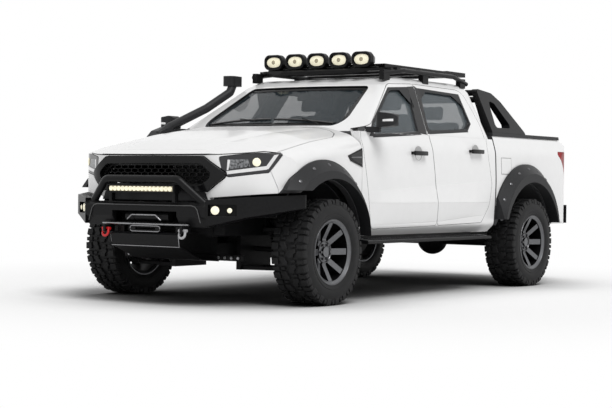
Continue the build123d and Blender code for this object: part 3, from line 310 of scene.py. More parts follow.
# Windows: five millimetres of lightly tinted safety glass, glued in as the screen and the rear window
# and held in the seals of the doors. The screen is clearer than the side windows.
window_glass = surface(
    "window_glass", (0.11, 0.135, 0.15), 0.03, grain=30, spread=0.15, rough_spread=0.01, specular=0.5)
screen_clear = surface(
    "screen_clear", (0.04, 0.055, 0.065), 0.03, grain=30, spread=0.15, rough_spread=0.01, specular=0.3)
shade(window_glass, {"Alpha": 0.4})
shade(screen_clear, {"Alpha": 0.34})
dress(window_glass, "glass_front_left", "glass_front_right", "glass_rear_left", "glass_rear_right")
dress(screen_clear, "fixed_glass")

# Cabin: dashboard, bulkhead, tunnel cover and steering wheel are moulded in dark grained plastic, and
# clipped or screwed to the cab behind the screen.
cabin_plastic = surface(
    "cabin_plastic", (0.04, 0.04, 0.043), 0.6, grain=700, spread=0.15, rough_spread=0.08, bump=0.15)
dress(cabin_plastic, "cabin_floor", "dashboard", "steering_wheel")

# Seats: foam pads under dark woven cloth, sewn in three fields across, on plain seat bases that are
# bolted to the floor, with a head rest on each back.
seat_cloth = surface(
    "seat_cloth", (0.05, 0.05, 0.054), 0.85, grain=1100, spread=0.3, rough_spread=0.05, bump=0.35)


def finish_piece(name, form, material, body, smooth=True, node=None, angle=35):
    """Turns a form into a finished piece that rides on a body and may stand for a solid."""
    mesh = bpy.data.meshes.new(name)
    bmesh.ops.recalc_face_normals(form, faces=form.faces)
    form.to_mesh(mesh)
    form.free()
    piece = bpy.data.objects.new(name, mesh)
    bpy.context.collection.objects.link(piece)
    mesh.materials.append(material)
    if smooth:
        mesh.polygons.foreach_set("use_smooth", [True] * len(mesh.polygons))
        mesh.set_sharp_from_angle(angle=radians(angle))
    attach(piece, body)
    if node:
        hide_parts(*([node] if isinstance(node, str) else node))
    return piece


def add_part(form, part):
    """Adds a part to a form and frees it."""
    kept = bpy.data.meshes.new("part")
    part.to_mesh(kept)
    part.free()
    form.from_mesh(kept)
    bpy.data.meshes.remove(kept)


def drawn_corners(drawn):
    """The new corners that an extrusion gives."""
    return [part for part in drawn["geom"] if isinstance(part, bmesh.types.BMVert)]


def box(form, middle, size, turn=Matrix.Identity(4)):
    """A turned block about its middle; gives its corners."""
    matrix = Matrix.Translation(middle) @ turn @ Matrix.Diagonal((*size, 1))
    return bmesh.ops.create_cube(form, size=1, matrix=matrix)["verts"]


def edges_of(corners):
    return {edge for corner in corners for edge in corner.link_edges}


def flat_outline(form, rows, place):
    """One flat face from rows of two measures, put in space by place."""
    return form.faces.new([form.verts.new(place(*row)) for row in rows])


def thicken(form, face, run):
    """Draws a face out along a run."""
    drawn = bmesh.ops.extrude_face_region(form, geom=[face])
    bmesh.ops.translate(form, verts=drawn_corners(drawn), vec=run)


def soften(form, edges, width, segments=2):
    bmesh.ops.bevel(
        form, geom=list(edges), offset=width, segments=segments, affect="EDGES", profile=0.5, material=-1)


def side_view(y):
    return lambda x, z: (along_axle(x), y, z)


def seat_pad(form, rows, y_low, y_high, crown=0.012, seam_count=3):
    """A pad from its side outline: drawn across, rounded, and crowned between its seams."""
    part = bmesh.new()
    face = flat_outline(part, rows, side_view(y_low))
    thicken(part, face, (0, y_high - y_low, 0))
    bmesh.ops.recalc_face_normals(part, faces=part.faces)
    soften(part, part.edges, 0.022, 3)
    cut_count = seam_count * 4
    for place in range(1, cut_count):
        y = y_low + (y_high - y_low) * place / cut_count
        bmesh.ops.bisect_plane(
            part, geom=part.verts[:] + part.edges[:] + part.faces[:], plane_co=(0, y, 0), plane_no=(0, 1, 0))
    middle = Vector((0, 0, 0))
    for corner in part.verts:
        middle += corner.co / len(part.verts)
    for corner in part.verts:
        across = (corner.co.y - y_low) / (y_high - y_low)
        fullness = abs(sin(across * pi * seam_count)) ** 0.6 * crown - crown
        flat = Vector((corner.co.x - middle.x, 0, corner.co.z - middle.z))
        corner.co += flat.normalized() * fullness
    add_part(form, part)


front_cushion = (
    (-1.15, 0.90), (-1.14, 0.98), (-1.17, 1.012), (-1.36, 1.006), (-1.56, 0.985), (-1.63, 0.90),
    (-1.60, 0.872))
front_back = (
    (-1.575, 0.985), (-1.60, 1.10), (-1.655, 1.28), (-1.72, 1.462), (-1.76, 1.482), (-1.815, 1.47),
    (-1.825, 1.44), (-1.765, 1.20), (-1.705, 0.99), (-1.66, 0.90))
front_rest = (
    (-1.735, 1.51), (-1.745, 1.57), (-1.762, 1.632), (-1.80, 1.64), (-1.846, 1.63), (-1.838, 1.55),
    (-1.825, 1.51))
bench_cushion = (
    (-1.99, 0.92), (-1.985, 1.0), (-2.01, 1.022), (-2.20, 1.012), (-2.36, 1.0), (-2.44, 0.92),
    (-2.40, 0.885))
bench_back = (
    (-2.375, 1.0), (-2.40, 1.10), (-2.43, 1.25), (-2.475, 1.42), (-2.50, 1.44), (-2.545, 1.435),
    (-2.556, 1.40), (-2.545, 1.10), (-2.53, 0.90), (-2.46, 0.89))
bench_rest = (
    (-2.482, 1.458), (-2.488, 1.52), (-2.498, 1.572), (-2.53, 1.58), (-2.562, 1.57), (-2.556, 1.50),
    (-2.552, 1.458))
front_seats = bmesh.new()
rear_bench = bmesh.new()
for side in (-0.37, 0.37):
    seat_pad(front_seats, front_cushion, side - 0.248, side + 0.248)
    seat_pad(front_seats, front_back, side - 0.24, side + 0.24)
    seat_pad(front_seats, front_rest, side - 0.122, side + 0.122, 0.006)
    box(front_seats, (along_axle(-1.42), side, 0.764), (0.44, 0.4, 0.207))
    seat_pad(rear_bench, bench_cushion, side - 0.275, side + 0.275)
    seat_pad(rear_bench, bench_back, side - 0.275, side + 0.275)
    seat_pad(rear_bench, bench_rest, side - 0.112, side + 0.112, 0.006)
box(rear_bench, (along_axle(-2.275), 0, 0.77), (0.45, 1.28, 0.218))
for name, form, node in (
        ("front_seat_pads", front_seats, "seats"), ("rear_bench_pads", rear_bench, "rear_seat")):
    pads = finish_piece(name, form, seat_cloth, root, node=node)
    rounder = pads.modifiers.new("rounder", "SUBSURF")
    rounder.levels = 1
    rounder.render_levels = 1

# Tyres: mud tyres with a carcass, two rows of centre blocks and two rows of shoulder blocks that reach
# down the side walls. Each is moulded in one piece and stands for the plainer solid.
tyre_radius, wheel_y, wheel_base = 0.389, 0.888, 3.22
bead_radius, pitch_count = 0.2268, 22
weld_distance = 1e-5
tyre_rubber = surface(
    "tyre_rubber", (0.011, 0.011, 0.0115), 0.62, grain=260, spread=0.35, rough_spread=0.12, bump=0.2,
    specular=0.22)


def turned(form, points, axis, steps):
    """A line through the points, turned once round an axis."""
    corners = [form.verts.new(point) for point in points]
    edges = [form.edges.new(pair) for pair in zip(corners, corners[1:])]
    bmesh.ops.spin(
        form, geom=corners + edges, cent=(0, 0, 0), axis=axis, angle=tau, steps=steps, use_merge=True)


def wheel_ring(form, rows, steps):
    """A profile of (y, radius) turned once round the wheel's axis."""
    turned(form, [(radius, y, 0) for y, radius in rows], (0, 1, 0), steps)


def put_on_wheel(form, x, y):
    """Moves a form made round the wheel's axis to its wheel, mirrored on the right side."""
    if y < 0:
        bmesh.ops.scale(form, verts=form.verts, vec=(1, -1, 1))
    bmesh.ops.translate(form, verts=form.verts, vec=(along_axle(x), y, tyre_radius))


def tread_block(form, rows, low, high, taper):
    """A lug from its outline in (run along the tread, y), narrower at its top."""
    def on_tread(radius):
        return lambda run, y: (radius * cos(run / tyre_radius), y, radius * sin(run / tyre_radius))
    middle = (sum(row[0] for row in rows) / len(rows), sum(row[1] for row in rows) / len(rows))
    foot = flat_outline(form, rows, on_tread(low))
    tops = drawn_corners(bmesh.ops.extrude_face_region(form, geom=[foot]))
    for corner in tops:
        run = atan2(corner.co.z, corner.co.x) * tyre_radius
        y = corner.co.y
        run += (middle[0] - run) * taper
        y += (middle[1] - y) * taper
        corner.co = on_tread(high)(run, y)
    caps = [face for face in form.faces if all(corner in tops for corner in face.verts)]
    soften(form, {edge for face in caps for edge in face.edges}, 0.0018, 1)


def mud_tyre():
    """One tyre round the wheel's axis: a pitch of blocks and lugs, turned round, and the carcass."""
    form = bmesh.new()
    pitch = tau * tyre_radius / pitch_count
    groove_floor = 0.366
    # Blocks in one pitch. Rows: run, y for each corner
    centre_block = (
        (-0.036, 0.004), (-0.012, 0.004), (0.006, 0.018), (0.030, 0.022), (0.034, 0.066), (0.006, 0.072),
        (-0.010, 0.052), (-0.034, 0.048))
    shoulder_long = ((-0.030, 0.084), (0.000, 0.080), (0.020, 0.086), (0.020, 0.140), (-0.030, 0.140))
    shoulder_short = ((0.032, 0.078), (0.060, 0.078), (0.066, 0.090), (0.060, 0.128), (0.032, 0.128))
    bridge_block = ((0.042, 0.030), (0.062, 0.026), (0.064, 0.062), (0.044, 0.066))
    for mirror_side in (1, -1):
        shift = 0 if mirror_side == 1 else pitch / 2
        for rows, top, taper in (
                (centre_block, tyre_radius, 0.08), (bridge_block, tyre_radius - 0.002, 0.1),
                (shoulder_long, tyre_radius - 0.0005, 0.06), (shoulder_short, tyre_radius - 0.003, 0.08)):
            placed = [(run + shift, y * mirror_side) for run, y in rows]
            tread_block(form, placed, groove_floor, top, taper)
    # Shoulder lugs that run down the side wall
    for mirror_side in (1, -1):
        shift = 0 if mirror_side == 1 else pitch / 2
        for start, end, reach in ((-0.030, 0.020, 0.335), (0.032, 0.060, 0.348)):
            lug = bmesh.new()
            face = flat_outline(
                lug,
                ((0.380, 0.118), (0.377, 0.1415), (reach + 0.012, 0.1455), (reach, 0.143), (reach, 0.12)),
                lambda radius, y: (radius, y * mirror_side, 0))
            thicken(lug, face, (0, 0, end - start))
            bmesh.ops.translate(lug, verts=lug.verts, vec=(0, 0, start))
            bmesh.ops.recalc_face_normals(lug, faces=lug.faces)
            soften(lug, lug.edges, 0.002, 1)
            bmesh.ops.rotate(
                lug, verts=lug.verts, cent=(0, 0, 0), matrix=Matrix.Rotation(-shift / tyre_radius, 3, "Y"))
            add_part(form, lug)
    bmesh.ops.spin(
        form, geom=form.verts[:] + form.edges[:] + form.faces[:], cent=(0, 0, 0), axis=(0, 1, 0),
        angle=tau * (pitch_count - 1) / pitch_count, steps=pitch_count - 1, use_duplicate=True)
    # Carcass: bead, side wall with a raised ring, shoulder and groove floor. Rows: y, radius
    half_rows = (
        (0.115, bead_radius), (0.1365, 0.2415), (0.1405, 0.252), (0.1475, 0.262), (0.1485, 0.272),
        (0.146, 0.2745), (0.1485, 0.282), (0.1488, 0.302), (0.1470, 0.322), (0.1425, 0.345), (0.134, 0.362),
        (0.118, 0.3705), (0.06, 0.372))
    rows = [*half_rows, *[(-y, radius) for y, radius in reversed(half_rows)]]
    rows.append(rows[0])
    wheel_ring(form, rows, 132)
    bmesh.ops.remove_doubles(form, verts=form.verts, dist=weld_distance)
    return form


tyre_mesh = bpy.data.meshes.new("tyre_form")
mud_tyre().to_mesh(tyre_mesh)
wheel_places = [(f"{end}_{side}", x, y) for end, x in (("front", 0.0), ("rear", -wheel_base))
                for side, y in (("left", wheel_y), ("right", -wheel_y))]
for wheel, x, y in wheel_places:
    tyre = bmesh.new()
    tyre.from_mesh(tyre_mesh)
    put_on_wheel(tyre, x, y)
    finish_piece(
        f"mud_tyre_{wheel}", tyre, tyre_rubber, f"wheel_{wheel}", node=f"tyre_{wheel}",
        angle=30)
bpy.data.meshes.remove(tyre_mesh)
dress(tyre_rubber, "spare_wheel")

# Wheels: cast alloy with eight flat spokes, painted gunmetal on the faces that look out; the other faces,
# in the pockets and along the spokes, are coloured near black as painted shade. Six nuts round a dark
# hub cap and a thin bright lip.
wheel_enamel = surface(
    "wheel_enamel", (0.14, 0.143, 0.15), 0.32, 0.8, grain=900, spread=0.1, rough_spread=0.05, bump=0.03)
# Painted shade: faces that do not look out sideways are coloured near black.
outward = reckon(wheel_enamel, "ABSOLUTE", sideways(wheel_enamel, "Normal"))[0]
over_part(
    wheel_enamel, reckon(wheel_enamel, "GREATER_THAN", outward, 0.6)[0], (0.012, 0.012, 0.013), 0.4)
nut_steel = surface("nut_steel", (0.11, 0.11, 0.115), 0.3, 0.9, grain=400, spread=0.1, bump=0.03)
nut_count, nut_circle = 6, 0.057
for wheel, x, y in wheel_places:
    dress(wheel_enamel, f"rim_{wheel}")
    nuts = bmesh.new()
    for place in range(nut_count):
        turn = tau * place / nut_count
        centre = Matrix.Translation(
            (nut_circle * cos(turn), 0.067, nut_circle * sin(turn))) @ Matrix.Rotation(pi / 2, 4, "X")
        bmesh.ops.create_cone(
            nuts, cap_ends=True, segments=6, radius1=0.0105, radius2=0.0095, depth=0.022, matrix=centre)
    wheel_ring(nuts, ((0.062, 0.072), (0.0685, 0.076), (0.0685, 0.081), (0.060, 0.0835)), 48)
    wheel_ring(nuts, ((0.1375, 0.2335), (0.1393, 0.2345), (0.1393, 0.2395), (0.1375, 0.2405)), 96)
    put_on_wheel(nuts, x, y)
    finish_piece(f"wheel_nuts_{wheel}", nuts, nut_steel, f"wheel_{wheel}")

# Head lamps: a clear moulded lens over a dark bowl, with a silver strip along its foot and its outer end,
# a cut-glass field inside and a round warm projector. The right lamp mirrors the left one.
lamp_gloss = surface(
    "lamp_gloss", (0.02, 0.02, 0.022), 0.06, grain=90, spread=0.2, rough_spread=0.02, specular=0.5)
dress(lamp_gloss, "head_lamps")
lamp_silver = surface("lamp_silver", (0.78, 0.78, 0.78), 0.12, 0.6, grain=300, spread=0.05, bump=0.02)
cut_glass = surface("cut_glass", (0.16, 0.165, 0.17), 0.15, 0.7, grain=900, spread=0.9, bump=0.6)
warm_lens = surface("warm_lens", (0.98, 0.92, 0.72), 0.1, grain=700, spread=0.1, bump=0.3)
shade(warm_lens, {"Emission Color": (1, 0.88, 0.6, 1), "Emission Strength": 0.22})
carriers, run_up = {}, 0.6


def carrier(node):
    """The surface of a solid, to seat pieces on."""
    if node not in carriers:
        form = bmesh.new()
        form.from_mesh(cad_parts[node].data)
        carriers[node] = BVHTree.FromBMesh(form)
        form.free()
    return carriers[node]


def seat_on(node, point, ray):
    """The place on a solid that a ray through the point meets first, with the surface's direction."""
    ray = Vector(ray).normalized()
    spot, normal, _, _ = carrier(node).ray_cast(Vector(point) - ray * run_up, ray)
    if spot is None:
        spot, normal, _, _ = carrier(node).find_nearest(Vector(point))
    return spot, normal if normal.dot(ray) < 0 else -normal


def laid_on(form, node, corners, steps, ray, lift, wall=0.003):
    """A thin skin between four corners, laid on a solid's surface. Corners are given from the front axle;
    the lift over the surface is a number, or comes from the share along and the rise."""
    inward = Vector(ray).normalized()
    part = bmesh.new()
    bmesh.ops.create_grid(part, x_segments=steps[0], y_segments=steps[1], size=0.5)
    low_start, low_end, high_end, high_start = [Vector((along_axle(x), y, z)) for x, y, z in corners]
    for corner in part.verts:
        share, rise = corner.co.x + 0.5, corner.co.y + 0.5
        low = low_start.lerp(low_end, share)
        spot, _ = seat_on(node, low.lerp(high_start.lerp(high_end, share), rise), ray)
        corner.co = spot - inward * (lift(share, rise) if callable(lift) else lift)
    drawn = bmesh.ops.extrude_face_region(part, geom=part.faces[:])
    bmesh.ops.translate(part, verts=drawn_corners(drawn), vec=inward * wall)
    add_part(form, part)


def mirrored(form):
    """The same form on the vehicle's other side."""
    other = form.copy()
    bmesh.ops.scale(other, verts=other.verts, vec=(1, -1, 1))
    bmesh.ops.reverse_faces(other, faces=other.faces)
    return other


def joined(form):
    """A form together with its mirror image, for one piece with both sides."""
    add_part(form, mirrored(form))
    return form


def disc(form, point, normal, rows, steps=32):
    """A turned form of (height, radius) rows standing on a point."""
    part = bmesh.new()
    turned(part, [(radius, 0, height) for height, radius in rows], (0, 0, 1), steps)
    bmesh.ops.remove_doubles(part, verts=part.verts, dist=weld_distance)
    turn = Vector(normal).to_track_quat("Z", "Y").to_matrix().to_4x4()
    bmesh.ops.transform(part, matrix=Matrix.Translation(point) @ turn, verts=part.verts)
    add_part(form, part)


lamp_inner_foot, lamp_inner_top = Vector((0.745, 0.600, 0.930)), Vector((0.850, 0.575, 1.064))
lamp_outer_foot, lamp_outer_top = Vector((0.580, 0.868, 0.976)), Vector((0.470, 0.868, 1.098))
lamp_ray = (-0.75, -0.66, 0)


def lamp_place(share, rise):
    foot = lamp_inner_foot.lerp(lamp_outer_foot, share)
    return foot.lerp(lamp_inner_top.lerp(lamp_outer_top, share), rise)


def lamp_patch(form, corners, steps, lift):
    laid_on(form, "head_lamps", [lamp_place(*corner) for corner in corners], steps, lamp_ray, lift)


silver_strips = bmesh.new()
lamp_patch(silver_strips, ((0.05, 0.08), (0.93, 0.06), (0.90, 0.28), (0.08, 0.24)), (24, 2), 0.0012)
lamp_patch(silver_strips, ((0.86, 0.10), (0.96, 0.08), (1.00, 0.92), (0.93, 0.90)), (3, 10), 0.0014)
lamp_patch(silver_strips, ((0.10, 0.28), (0.13, 0.28), (0.24, 0.80), (0.20, 0.82)), (2, 8), 0.0012)
finish_piece("lamp_strips", joined(silver_strips), lamp_silver, root)
cut_field = bmesh.new()
lamp_patch(cut_field, ((0.14, 0.32), (0.56, 0.36), (0.52, 0.76), (0.24, 0.82)), (14, 8), 0.0008)
finish_piece("lamp_cut_glass", joined(cut_field), cut_glass, root)
projectors = bmesh.new()
spot, facing = seat_on("head_lamps", lamp_place(0.67, 0.56) + Vector((axle_x, 0, 0)), lamp_ray)
disc(projectors, spot, facing,
     ((0.001, 0.030), (0.004, 0.029), (0.007, 0.022), (0.0085, 0.010), (0.009, 0.0)))
finish_piece("lamp_projectors", joined(projectors), warm_lens, root)

# Light bar in the hoop: a row of small warm reflectors behind one clear strip, in a black housing.
led_cells = bmesh.new()
cell_count, cell_spacing = 16, 0.0365
for place in range(cell_count):
    y = (place - (cell_count - 1) / 2) * cell_spacing
    disc(led_cells, (along_axle(0.9518), y, 0.835), (1, 0, 0),
         ((0.0, 0.0178), (0.0055, 0.0172), (0.0065, 0.0150), (0.0030, 0.0080), (0.0045, 0.0)), 16)
finish_piece("light_bar_cells", led_cells, warm_lens, root)
warm_shade = surface("warm_shade", (0.42, 0.37, 0.26), 0.2, 0.3, grain=500, spread=0.2, bump=0.1)
led_strip = bmesh.new()
box(led_strip, (along_axle(0.9508), 0, 0.835), (0.002, 0.588, 0.038))
soften(led_strip, led_strip.edges, 0.0008, 1)
finish_piece("light_bar_reflector", led_strip, warm_shade, root)

# Lamps in the bar's wings: a large and a small round lamp with warm lenses, screwed into each recess.
# The recess looks outwards, so both lenses face the same way as its floor.
wing_lenses = bmesh.new()
wing_facing = Vector((232, 173, 0)).normalized()
wing_run = Vector((-173, 232, 0)).normalized()
wing_middle = Vector((along_axle(0.845), 0.655, 0.690))
for shift, radius in ((-0.050, 0.034), (0.052, 0.020)):
    centre = wing_middle + wing_run * shift - wing_facing * 0.0077
    disc(wing_lenses, centre, wing_facing,
         ((0.0, radius * 0.88), (0.003, radius * 0.86), (0.007, radius * 0.5), (0.008, 0.0)))
finish_piece("wing_lamp_lenses", joined(wing_lenses), warm_lens, root)

# Roof lamps: five driving lamps with bowed warm lenses, clipped into black rims, and a darker bulb shade
# in the middle of each.
roof_lenses, bulb_shades = bmesh.new(), bmesh.new()
roof_lamp_places = [(place - 2) * 0.219 for place in range(5)]
roof_lamp_z = 1.903
for y in roof_lamp_places:
    part = bmesh.new()
    bmesh.ops.create_grid(part, x_segments=16, y_segments=10, size=0.5)
    for corner in part.verts:
        across, up = corner.co.x * 2, corner.co.y * 2
        bend = sqrt(max(0, 1 - 0.42 * up * up))
        rise = sqrt(max(0, 1 - 0.42 * across * across))
        corner.co = Vector((
            along_axle(-1.2705) + 0.010 * (1 - 0.5 * (across * across + up * up)),
            y + across * 0.069 * bend, roof_lamp_z + up * 0.042 * rise))
    add_part(roof_lenses, part)
    disc(bulb_shades, (along_axle(-1.262), y, roof_lamp_z), (1, 0, 0),
         ((0.0, 0.018), (0.002, 0.017), (0.003, 0.011), (0.0035, 0.0)), 24)
finish_piece("roof_lamp_lenses", roof_lenses, warm_lens, root)
finish_piece("roof_lamp_bulbs", bulb_shades, warm_shade, root)

# Door fittings: black bar handles over shallow bowls, belt seals and gloss black covers on the
# pillars between the doors. The bowls are white enamel coloured grey as painted shade. They are clipped
# to the doors and move with them.
side_ray = (0, -1, 0)
ledge_height = 0.017
# Rows: door, handle middle x, z
handle_rows = (("front", -1.335, 1.140), ("rear", -2.290, 1.176))
seal_rows = {
    "front": ((-0.700, 1.246), (-1.470, 1.292), (-1.440, 1.3135), (-0.690, 1.2695)),
    "rear": ((-1.606, 1.302), (-2.300, 1.342), (-2.285, 1.3655), (-1.614, 1.3270))}
pillar_rows = {
    "front": ((-1.432, 1.305), (-1.556, 1.297), (-1.676, 1.700), (-1.566, 1.690)),
    "rear": ((-1.572, 1.300), (-1.612, 1.318), (-1.742, 1.676), (-1.690, 1.705))}
window_rows = {
    "front": ((-0.690, 1.272), (-0.790, 1.352), (-1.252, 1.644), (-1.560, 1.664), (-1.430, 1.316)),
    "rear": ((-1.618, 1.330), (-1.748, 1.664), (-2.395, 1.650), (-2.385, 1.430), (-2.280, 1.368))}
ledge_rows = {
    "front": ((-0.600, 0.745), (-1.640, 0.745), (-1.616, 0.888), (-0.578, 0.830)),
    "rear": ((-1.650, 0.745), (-2.562, 0.745), (-2.575, 0.925), (-1.628, 0.890))}
foot_rows = {
    "front": ((-0.640, 0.575), (-1.664, 0.590), (-1.640, 0.745), (-0.600, 0.745)),
    "rear": ((-1.672, 0.590), (-2.470, 0.640), (-2.562, 0.745), (-1.650, 0.745))}


def offset_out(rows, width):
    """The rows of a closed outline moved outwards by a width."""
    moved = []
    middle = Vector((sum(row[0] for row in rows), sum(row[1] for row in rows))) / len(rows)
    for place, row in enumerate(rows):
        here = Vector(row)
        normals = []
        for other in (Vector(rows[place - 1]), Vector(rows[(place + 1) % len(rows)])):
            along = (other - here).normalized()
            across = Vector((along.y, -along.x))
            normals.append(across if across.dot(here - middle) > 0 else -across)
        mitre = (normals[0] + normals[1]).normalized()
        moved.append(here + mitre * width / max(0.5, mitre.dot(normals[0])))
    return moved


def beside(rows, y):
    """Rows of x, z as points at one distance from the middle."""
    return [(x, y, z) for x, z in rows]


def fade(share, place):
    """The ledge rises along the front door and sinks along the rear one."""
    far = share if place == "front" else 1 - share
    return min(1, max(0, far * 3.2)) ** 1.4


for place, handle_x, handle_z in handle_rows:
    left_door = f"door_left_{place}"
    bar = bmesh.new()
    spot, _ = seat_on(left_door, (along_axle(handle_x), 0.95, handle_z), side_ray)
    box(bar, spot + Vector((0, 0.032, 0)), (0.205, 0.019, 0.036))
    soften(bar, bar.edges, 0.008, 3)
    for end in (-0.088, 0.088):
        box(bar, spot + Vector((end, 0.013, 0)), (0.024, 0.036, 0.024))
    bowl = bmesh.new()
    disc(bowl, spot + Vector((-0.010, -0.001, 0)), (0, 1, 0.02),
         ((0.000, 0.058), (0.0028, 0.058), (0.0018, 0.052), (0.0008, 0.030), (0.0006, 0.0)), 40)
    seals = bmesh.new()
    laid_on(seals, left_door, beside(seal_rows[place], 0.93), (24, 5), side_ray, 0.0022, 0.005)
    inner_rows, outer_rows = offset_out(window_rows[place], -0.022), offset_out(window_rows[place], 0.024)
    for start in range(5):
        end = (start + 1) % 5
        pairs = (inner_rows[start], inner_rows[end], outer_rows[end], outer_rows[start])
        laid_on(seals, left_door, beside(pairs, 0.88), (24, 6), side_ray, 0.0018, 0.005)
    covers = bmesh.new()
    laid_on(covers, left_door, beside(pillar_rows[place], 0.88), (4, 12), side_ray, 0.0024, 0.004)
    ledge = bmesh.new()
    laid_on(ledge, left_door, beside(ledge_rows[place], 0.95), (24, 8), side_ray,
            lambda share, rise: 0.0004 + ledge_height * fade(share, place) * (1 - rise) ** 1.3, 0.02)
    laid_on(ledge, left_door, beside(foot_rows[place], 0.95), (24, 8), side_ray,
            lambda share, rise: 0.0004 + ledge_height * fade(share, place) * rise ** 0.8, 0.02)
    for side in ("left", "right"):
        body = f"door_{side}_{place}"
        for name, form, finish, slot in (
                ("handle", bar, gloss_black, "black_plastic"),
                ("handle_bowl", bowl, bowl_painted_shade, "white_paint"),
                ("belt_seal", seals, grained_plastic, "black_plastic"),
                ("pillar_cover", covers, gloss_black, "black_plastic"),
                ("door_ledge", ledge, gate_enamel, "white_paint")):
            placed = form.copy() if side == "left" else mirrored(form)
            finish_piece(f"{name}_{side}_{place}", placed, finish, body)
    for form in (bar, bowl, seals, covers, ledge):
        form.free()

# Fender vents: a black bezel against the door's edge that points forward, with two fields of dark mesh
# and a grey bar between them. Each is clipped into the fender.
vent_rows = ((-0.508, 1.014), (-0.335, 1.060), (-0.300, 1.098), (-0.508, 1.162))
vent_fields = (
    ((-0.496, 1.032), (-0.372, 1.066), (-0.352, 1.080), (-0.496, 1.086)),
    ((-0.496, 1.094), (-0.350, 1.090), (-0.330, 1.100), (-0.496, 1.146)))
vent_bar_rows = ((-0.500, 1.085), (-0.345, 1.083), (-0.338, 1.089), (-0.500, 1.096))
# Dark mesh for the vent fields; the same finish is painted shade in the fuel flap's gap.
dark_mesh_and_gap_shade = surface("dark_mesh_and_gap_shade", (0.006, 0.006, 0.0065), 0.5, grain=500, spread=0.6, bump=0.8)
vent_grey = surface("vent_grey", (0.16, 0.16, 0.165), 0.3, 0.5, grain=300, spread=0.08, bump=0.02)
bezels, fields, bars = bmesh.new(), bmesh.new(), bmesh.new()
laid_on(bezels, "fenders", beside(vent_rows, 0.95), (12, 6), side_ray, 0.006, 0.008)
for rows in vent_fields:
    laid_on(fields, "fenders", beside(rows, 0.95), (10, 3), side_ray, 0.0072, 0.003)
laid_on(bars, "fenders", beside(vent_bar_rows, 0.95), (10, 1), side_ray, 0.0085, 0.004)
finish_piece("vent_bezels", joined(bezels), gloss_black, root)
finish_piece("vent_mesh", joined(fields), dark_mesh_and_gap_shade, root)
finish_piece("vent_bars", joined(bars), vent_grey, root)

# Flare bolts: round stainless heads, about every twenty degrees on the sloping face of each flare, that
# hold it to the panel.
bolt_circle = 0.583
flare_bolts = bmesh.new()
# Rows: flare centre x, z, first angle, last angle in degrees from straight ahead
for centre_x, centre_z, first, last in ((0.033, 0.441, 52, 168), (-wheel_base + 0.005, 0.459, 14, 158)):
    count = round((last - first) / 19)
    for place in range(count + 1):
        turn = radians(first + (last - first) * place / count)
        point = (along_axle(centre_x + bolt_circle * cos(turn)), 1.0, centre_z + bolt_circle * sin(turn))
        spot, facing = seat_on("flares", point, side_ray)
        disc(flare_bolts, spot, facing, ((0.0, 0.0145), (0.003, 0.0135), (0.0055, 0.008), (0.006, 0.0)), 16)
finish_piece("flare_bolts", joined(flare_bolts), nut_steel, root)

# Wipers: two black steel arms on pivots in the cowl, with rubber blades that rest near the foot of the
# screen.
wiper_rubber = surface("wiper_rubber", (0.01, 0.01, 0.0105), 0.45, grain=600, spread=0.2, bump=0.1)
screen_ray = (-0.5, 0, -0.86)
wipers = bmesh.new()
for pivot_y, start_y, end_y in ((0.50, 0.60, 0.06), (-0.08, 0.02, -0.58)):
    laid_on(wipers, "fixed_glass", (
        (-0.600, start_y, 1.372), (-0.585, end_y, 1.398), (-0.600, end_y, 1.405), (-0.615, start_y, 1.380)),
        (20, 1), screen_ray, 0.010, 0.012)
    middle = (start_y + end_y) / 2
    laid_on(wipers, "fixed_glass", (
        (-0.560, pivot_y + 0.01, 1.345), (-0.600, middle + 0.01, 1.396), (-0.606, middle - 0.012, 1.400),
        (-0.566, pivot_y - 0.012, 1.345)), (8, 1), screen_ray, 0.020, 0.008)
finish_piece("wipers", wipers, wiper_rubber, root)

# Screen border: the black band of ceramic ink fired onto the glass round the edge of the windscreen,
# which hides the glue.
front_ray = (-1, 0, 0)
screen_band = bmesh.new()
for corners, steps in (
        (((-0.68, -0.690, 1.338), (-0.68, 0.690, 1.338), (-0.70, 0.680, 1.362), (-0.70, -0.680, 1.362)),
         (40, 2)),
        (((-1.14, -0.590, 1.640), (-1.14, 0.590, 1.640), (-1.20, 0.576, 1.674), (-1.20, -0.576, 1.674)),
         (40, 2)),
        (((-0.68, 0.655, 1.340), (-0.68, 0.695, 1.340), (-1.20, 0.577, 1.672), (-1.20, 0.545, 1.672)),
         (2, 24)),
        (((-0.68, -0.695, 1.340), (-0.68, -0.655, 1.340), (-1.20, -0.545, 1.672),
         (-1.20, -0.577, 1.672)), (2, 24))):
    laid_on(screen_band, "fixed_glass", corners, steps, front_ray, 0.001, 0.002)
finish_piece("screen_band", screen_band, gloss_black, root)

# Bonnet dome: the raised middle field of the pressing, which slopes down to the bonnet's sides. It is
# steel under the same white enamel, and opens with the bonnet.
dome_height = 0.013
bonnet_dome = bmesh.new()


def dome_lift(share, rise):
    """Full height in the middle, down to the bonnet at the dome's four edges."""
    across = min(share, 1 - share) / 0.13
    along = min(rise / 0.2, (1 - rise) / 0.06)
    return 0.0005 + dome_height * sin(min(1, max(0, across)) * pi / 2) * sin(min(1, max(0, along)) * pi / 2)


laid_on(bonnet_dome, "bonnet", (
    (0.70, -0.40, 1.30), (0.70, 0.40, 1.30), (-0.37, 0.585, 1.30), (-0.37, -0.585, 1.30)),
    (60, 40), (0, 0, -1), dome_lift)
finish_piece("bonnet_dome", bonnet_dome, gate_enamel, "bonnet")

